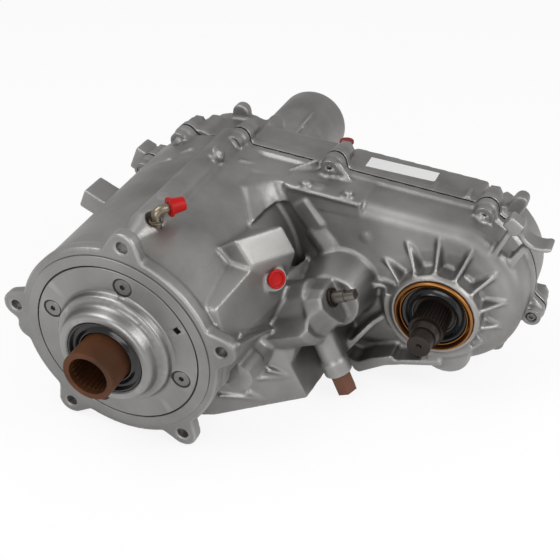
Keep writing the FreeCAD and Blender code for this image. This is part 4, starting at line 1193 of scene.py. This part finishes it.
@dataclass
class TailCasting(Casting):
    """The tail housing with its raised cast line and its round mark."""

    node: str = "tail_housing"
    voxel: float = 1.1 * MM
    fillet: float = 2.0 * MM
    limit: int = 90000
    sight: Sight = field(default_factory=Sight)

    def relief(self) -> list[Piece]:
        """Makes the line and the mark.

        Returns:
            The forms.
        """
        start, up = self.sight.hit(294, 135, self.node)
        end, _ = self.sight.hit(313, 113, self.node)
        place, out = self.sight.hit(318, 131, self.node)
        return [
            bar("tail_line", start, end, up, 3.0, 1.1),
            disc("tail_mark", place, out, 4.6, 0.6),
        ]


@dataclass
class BoltSeats:
    """The faced rings on the front case's bolt bosses, with the bolts' ends in them."""

    face_y: float = 218.0
    inner_r: float = 5.6
    outer_r: float = 9.3
    bolts: tuple[Point, ...] = (
        (277.8, 77.4), (305.3, -64.3), (252.3, -83.6), (336.6, -23.7), (18.1, 102.4),
        (-44.0, 94.3), (-91.0, 50.4), (-103.2, -12.7), (-77.3, -69.6), (122.6, 96.0),
        (126.1, -88.0),
    )

    def build(self) -> None:
        """Turns the rings and the bolts' ends."""
        rings, heads = [], []
        depth = self.face_y
        for i, centre in enumerate(self.bolts):
            rings.append(lathe(f"seat_ring_{i}", [
                (self.inner_r, depth + 6.0), (self.inner_r, depth - 0.2),
                (self.inner_r + 0.4, depth - 0.6), (self.outer_r - 0.5, depth - 0.6),
                (self.outer_r, depth - 0.1), (self.outer_r, depth + 6.0),
            ], centre, 48))
            heads.append(lathe(f"bolt_end_{i}", [
                (0, depth + 5.0), (0, depth + 1.2), (1.6, depth + 1.2), (2.2, depth - 0.1),
                (3.6, depth - 0.3), (4.4, depth + 0.4), (4.4, depth + 5.0),
            ], centre, 24))
        settle(join(rings, "bolt_seat_rings"), Finish.FACED, "case")
        settle(join(heads, "bolt_ends"), Finish.SCREW, "case")


# Input side


@dataclass
class InputSide:
    """Register ring, bearing retainer, screws and seal of the input."""

    pilot_r: float = PILOT_R
    retainer_r: float = 82.2
    gap: float = 1.15
    screw_pitch_r: float = 68.1
    screw_angles: tuple[float, ...] = (160.2, 78.6, -16.9, -110.0)
    screw_head_r: float = 8.2
    seat_r: float = 9.6
    mark_at: Point = (64.8, 35.0)
    seal_r: float = 38.1
    gear_r: float = 25.0
    face_y: float = -1.5

    def build(self) -> None:
        """Makes every piece."""
        self.register_ring()
        self.retainer()
        self.screws()
        self.seal()

    def at_screws(self, name: str, outline: list[Point]) -> list[Piece]:
        """Turns one shape round each screw's axis.

        Args:
            name: the objects' name, to which each one's number is added.
            outline: corners as (radius, y) in millimetres.

        Returns:
            The turned objects.
        """
        return [
            lathe(f"{name}_{i}", outline, polar((0.0, 0.0), self.screw_pitch_r, a).xz, 48)
            for i, a in enumerate(self.screw_angles)
        ]

    def register_ring(self) -> None:
        """Turns the raised ring round the retainer, with a near-black ring in the gap at its foot
        as painted shade.
        """
        inner = self.retainer_r + self.gap
        ring = lathe("register_ring", [
            (inner, 8.0), (inner, self.face_y + 0.5), (inner + 0.5, self.face_y),
            (self.pilot_r - 0.5, self.face_y), (self.pilot_r, self.face_y + 0.5),
            (self.pilot_r, 8.0),
        ], steps=160)
        settle(ring, Finish.FACED, "case")
        # A near-black ring in the gap round the retainer: painted shade.
        root = lathe("register_gap_shade", [
            (self.retainer_r + 0.1, 1.2), (inner - 0.05, 1.2), (inner - 0.05, 8.0),
            (self.retainer_r + 0.1, 8.0),
        ], steps=160)
        settle(root, Finish.SHADE, "case")

    def retainer(self) -> None:
        """Turns the retainer with its cast neck and cuts its screw seats."""
        top = self.face_y
        neck = lathe("bearing_retainer", [
            (31.0, 8.4), (31.0, -11.4), (38.2, -11.4), (38.2, -22.4), (39.4, -23.6),
            (43.2, -23.6), (45.2, -23.0), (46.6, -21.6), (47.6, -19.0), (48.4, -15.0),
            (49.4, -12.2), (51.0, -10.6), (53.0, -10.0), (55.4, -9.6), (56.6, -8.6),
            (57.2, -6.8), (57.8, -4.0), (58.8, top - 0.9), (60.4, top), (61.0, top),
            (self.retainer_r - 1.0, top), (self.retainer_r - 0.5, top),
            (self.retainer_r, top + 0.5),
            (self.retainer_r, 8.4),
        ], steps=160)
        self.cast_marks(neck)
        carve(neck, self.at_screws("pocket", [
            (0, -30), (10.6, -30), (10.6, top - 2.2), (9.4, top - 0.05), (0, top - 0.05)]))
        break_edges(neck, 0.9, 38.0, segments=3)
        seats = self.at_screws("seat", [
            (0, top - 2), (self.seat_r, top - 2), (self.seat_r, top + 0.9), (4.3, 4.2),
            (4.3, 12), (0, 12)])
        mark = lathe("drain_mark", [(0, top - 2), (4.4, top - 2), (4.4, 4), (0, 4)],
                     self.mark_at, 4)
        carve(neck, [*seats, mark])
        settle(neck, Finish.CAST_COVER, "case", "input_bearing_retainer", crease=35.0)
        backing = lathe("seat_shade", [(60.0, 3.6), (76.5, 3.6), (76.5, 4.4), (60.0, 4.4)],
                        steps=96)
        settle(backing, Finish.SHADE, "case")

    def cast_marks(self, neck: Piece) -> None:
        """Roughens the neck's sloping band a little, as worn cast marks do.

        Args:
            neck: the turned retainer.
        """
        for v in neck.data.vertices:
            r = math.hypot(v.co.x, v.co.z) / MM
            if 50.5 < r < 57.4 and -11.0 < v.co.y / MM < -3.0:
                wave = math.sin(v.co.x * 900) * math.sin(v.co.z * 700)
                v.co.y -= 0.25 * MM * wave

    def screws(self) -> None:
        """Turns the countersunk screws and cuts their sockets."""
        top, head = self.face_y + 0.35, self.screw_head_r
        screws = join(self.at_screws("screw", [
            (0, top), (head - 0.6, top), (head, top + 0.5), (head, top + 1.0), (4.1, 4.0),
            (4.1, 21.0), (0, 21.0),
        ]), "retainer_screw_set")
        carve(screws, [self.socket(angle, top) for angle in self.screw_angles])
        settle(screws, Finish.SCREW, "case", "retainer_screws")
        # Near-black rings round the screw heads: painted shade in the gaps of their seats.
        inner, outer = head + 0.05, self.seat_r - 0.05
        rings = self.at_screws("grease", [
            (inner, top), (outer, top), (outer, top + 1.6), (inner, top + 1.6)])
        settle(join(rings, "screw_gap_shade"), Finish.SHADE, "case")

    def socket(self, angle: float, top: float) -> Piece:
        """Makes the six-lobed socket that is cut into a screw.

        Args:
            angle: the screw's direction from the input axis, in degrees.
            top: the head's face.

        Returns:
            The cutter.
        """
        centre = polar((0.0, 0.0), self.screw_pitch_r, angle).xz
        low, high = (
            [polar(centre, 3.1 if k % 2 else 2.3, 30 * k, y) * MM for k in range(12)]
            for y in (top - 1.0, top + 3.0)
        )
        return solid_between("socket", low, high)

    def seal(self) -> None:
        """Turns the input seal's rubber band, dish and lip."""
        r, y, inner = self.seal_r, -22.6, self.gear_r
        seal = lathe("input_seal_ring", [
            (r, -12.0), (r, y + 0.8), (r - 0.8, y), (r - 2.2, y), (r - 3.0, y + 1.0),
            (r - 3.4, y + 4.6), (r - 5.2, y + 5.6), (r - 8.4, y + 4.8), (r - 10.2, y + 2.2),
            (r - 11.4, y + 2.0), (inner + 0.6, y + 3.0), (inner + 0.06, y + 4.4),
            (inner + 0.9, y + 7.0), (inner + 3.0, -12.0),
        ], steps=128)
        settle(seal, Finish.GLOSS_RUBBER, "case", "input_seal", crease=50.0)


# Front output


@dataclass
class FrontOutput:
    """The seal's ring and its lip at the front output."""

    centre: Point = OUTPUT_AT
    face_y: float = OUTPUT_FACE_Y
    seal_r: float = 38.6
    shaft_r: float = 20.0

    def build(self) -> None:
        """Turns the seal's ring and its lip."""
        y, r = self.face_y, self.seal_r
        shell = lathe("output_seal_shell", [
            (r - 0.1, y + 10.0), (r, y + 0.2), (r + 0.1, y - 1.2), (r - 0.7, y - 2.2),
            (r - 1.9, y - 2.3), (r - 2.7, y - 1.4), (r - 2.9, y + 0.4), (r - 3.2, y + 8.2),
            (r - 4.4, y + 8.4), (r - 4.8, y + 1.6), (r - 5.3, y + 0.8), (r - 6.0, y + 1.0),
            (r - 6.2, y + 9.8),
        ], self.centre, 128)
        settle(shell, Finish.AMBER, "case", "front_output_seal_ring", crease=50.0)
        inner = self.shaft_r
        lip = lathe("output_seal_cup", [
            (r - 6.25, y + 9.6), (r - 6.25, y + 3.4), (r - 7.4, y + 2.4), (r - 9.4, y + 2.8),
            (r - 10.4, y + 4.6), (r - 12.4, y + 6.2), (r - 14.8, y + 5.4), (inner + 2.0, y + 3.2),
            (inner + 0.7, y + 3.4), (inner + 0.06, y + 4.8), (inner + 0.7, y + 7.2),
            (inner + 3.6, y + 8.8), (r - 10.0, y + 9.6),
        ], self.centre, 128)
        settle(lip, Finish.GLOSS_RUBBER, "case", "front_output_seal_lip", crease=50.0)


# Parts that are rounded from their CAD shape


@dataclass
class RoundedPiece:
    """A CAD node whose edges are broken as the real piece's are.

    Args:
        node: the CAD node.
        finish: its finish.
        body: the CAD body that it rides on.
        width: the edges' rounding in millimetres.
        sharp: edges sharper than this many degrees are rounded.
        name: the piece's name, or nothing for the node's with a word added.
    """

    node: str
    finish: Finish
    body: str = "case"
    width: float = 0.5
    sharp: float = 35.0
    name: str = ""

    def build(self) -> Piece:
        """Rounds a copy of the node and puts it in the node's place.

        Returns:
            The finished piece.
        """
        obj = copy_of(self.node, self.name or self.node + "_rounded")
        flat_merge(obj)
        break_edges(obj, self.width, self.sharp)
        return settle(obj, self.finish, self.body, self.node)


@dataclass
class SwitchPlug:
    """The red plug in the indicator switch's port, with the spot face round it."""

    at: Vector = field(default_factory=lambda: Vector((115.2, 100.0, 38.6)) * MM)
    ahead: Vector = field(default_factory=lambda: Vector((0.78, -0.50, 0.38)).normalized())

    def build(self) -> None:
        """Makes the plug and its spot face."""
        turn = Vector((0, 1, 0)).rotation_difference(self.ahead).to_matrix().to_4x4()
        place = Matrix.Translation(self.at) @ turn
        plug = lathe("switch_plug_moulded", [
            (0, -9.0), (4.9, -9.0), (4.9, 0.35), (8.8, 0.35), (9.3, 0.9), (9.3, 2.2),
            (8.7, 2.9), (7.4, 3.1), (6.6, 2.6), (6.2, 1.3), (5.2, 0.95), (0, 0.95),
        ], steps=64)
        plug.data.transform(place)
        settle(plug, Finish.RED, "cap_switch", "switch_port_plug", crease=50.0)
        face = lathe("switch_spot_face", [
            (5.3, -1.5), (11.6, -1.5), (11.6, 0.05), (11.2, 0.3), (5.3, 0.3),
        ], steps=64)
        face.data.transform(place)
        settle(face, Finish.FACED, "case")


@dataclass
class LabelPlate:
    """The bare white plate on top of the rear case."""

    corners: tuple[Point, ...] = ((148, 254), (219, 258), (219, 277), (148, 274))
    lift: float = 0.35

    def build(self) -> None:
        """Lays the plate on the casting's top."""
        low, high = (
            [Vector((x, y, 97.7 - 0.0718 * x + lift)) * MM for x, y in self.corners]
            for lift in (-0.6, self.lift)
        )
        settle(solid_between("label_plate", low, high), Finish.LABEL, "case")


# Pieces that keep their CAD shape


@dataclass
class PlainPieces:
    """The CAD nodes that need a finish and no new shape."""

    finishes: dict[Finish, list[str]] = field(default_factory=lambda: {
        Finish.RUST: ["input_gear"],
        Finish.BROWN: ["detent_plug"],
        Finish.DARK_STEEL: ["front_output_shaft"],
        Finish.AMBER: ["front_output_seal_ring"],
        Finish.RUBBER: ["input_seal", "front_output_seal_lip", "tail_seal"],
        Finish.SEALANT: ["case_sealant"],
        Finish.RED: ["vent_cap", "switch_port_plug", "rear_port_cap"],
        Finish.ZINC: ["case_bolts", "tail_bolts", "fill_plug", "drain_plug", "sector_seal"],
        Finish.BRONZE: ["tail_bush"],
        Finish.BARE_STEEL: [
            "retainer_screws", "vent_tube", "shift_sector", "shift_rail", "range_fork",
            "mode_fork", "detent_plunger", "detent_spring", "annulus_snap_ring",
            "oil_pickup_tube",
        ],
        Finish.MACHINED: ["input_bearing_retainer", "oil_pump_housing"],
        Finish.CASTING: ["front_case", "rear_case", "tail_housing"],
        Finish.BEARING: [
            "input_bearing_outer", "input_bearing_inner", "front_output_bearing_outer",
            "front_output_bearing_inner", "front_output_rear_bearing_outer",
            "front_output_rear_bearing_inner", "rear_bearing_outer", "rear_bearing_inner",
        ],
        Finish.GEAR: [
            "annulus_gear", "planet_carrier", "planet_pins", "planet_gear_1",
            "planet_gear_2", "planet_gear_3", "range_hub", "main_shaft", "mode_hub",
            "mode_sleeve", "drive_sprocket", "driven_sprocket", "chain",
            "oil_pump_rotor", "tone_ring",
        ],
    })

    def build(self) -> None:
        """Finishes every node."""
        for finish, names in self.finishes.items():
            for name in names:
                dress(NODES[name], finish)
        log.info("plain pieces finished")


def main() -> None:
    """Builds the transfer case and its studio."""
    logging.basicConfig(level=logging.INFO, format="%(message)s")
    PlainPieces().build()
    FrontCasting().build()
    Casting("rear_case", limit=120000).build()
    TailCasting().build()
    BoltSeats().build()
    InputSide().build()
    RoundedPiece("input_gear", Finish.RUST, "input", 0.7, 50.0, "input_gear_turned").build()
    FrontOutput().build()
    RoundedPiece("front_output_shaft", Finish.DARK_STEEL, "front_output", 0.45, 40.0,
                 "output_shaft_turned").build()
    SwitchPlug().build()
    LabelPlate().build()
    for piece in (
        RoundedPiece("detent_plug", Finish.BROWN),
        RoundedPiece("shift_sector", Finish.BARE_STEEL, "sector", 0.4),
        RoundedPiece("sector_seal", Finish.DARK_STEEL, width=0.6),
        RoundedPiece("vent_tube", Finish.TUBE, width=0.4, sharp=50.0),
        RoundedPiece("vent_cap", Finish.RED, "cap_vent", 0.5, 50.0),
        RoundedPiece("rear_port_cap", Finish.DARK_RED, "cap_rear", 0.5, 50.0),
        RoundedPiece("case_bolts", Finish.ZINC),
        RoundedPiece("tail_bolts", Finish.ZINC),
        RoundedPiece("fill_plug", Finish.ZINC),
        RoundedPiece("drain_plug", Finish.ZINC),
    ):
        piece.build()
    Studio().build()


if __name__ == "__main__":
    main()
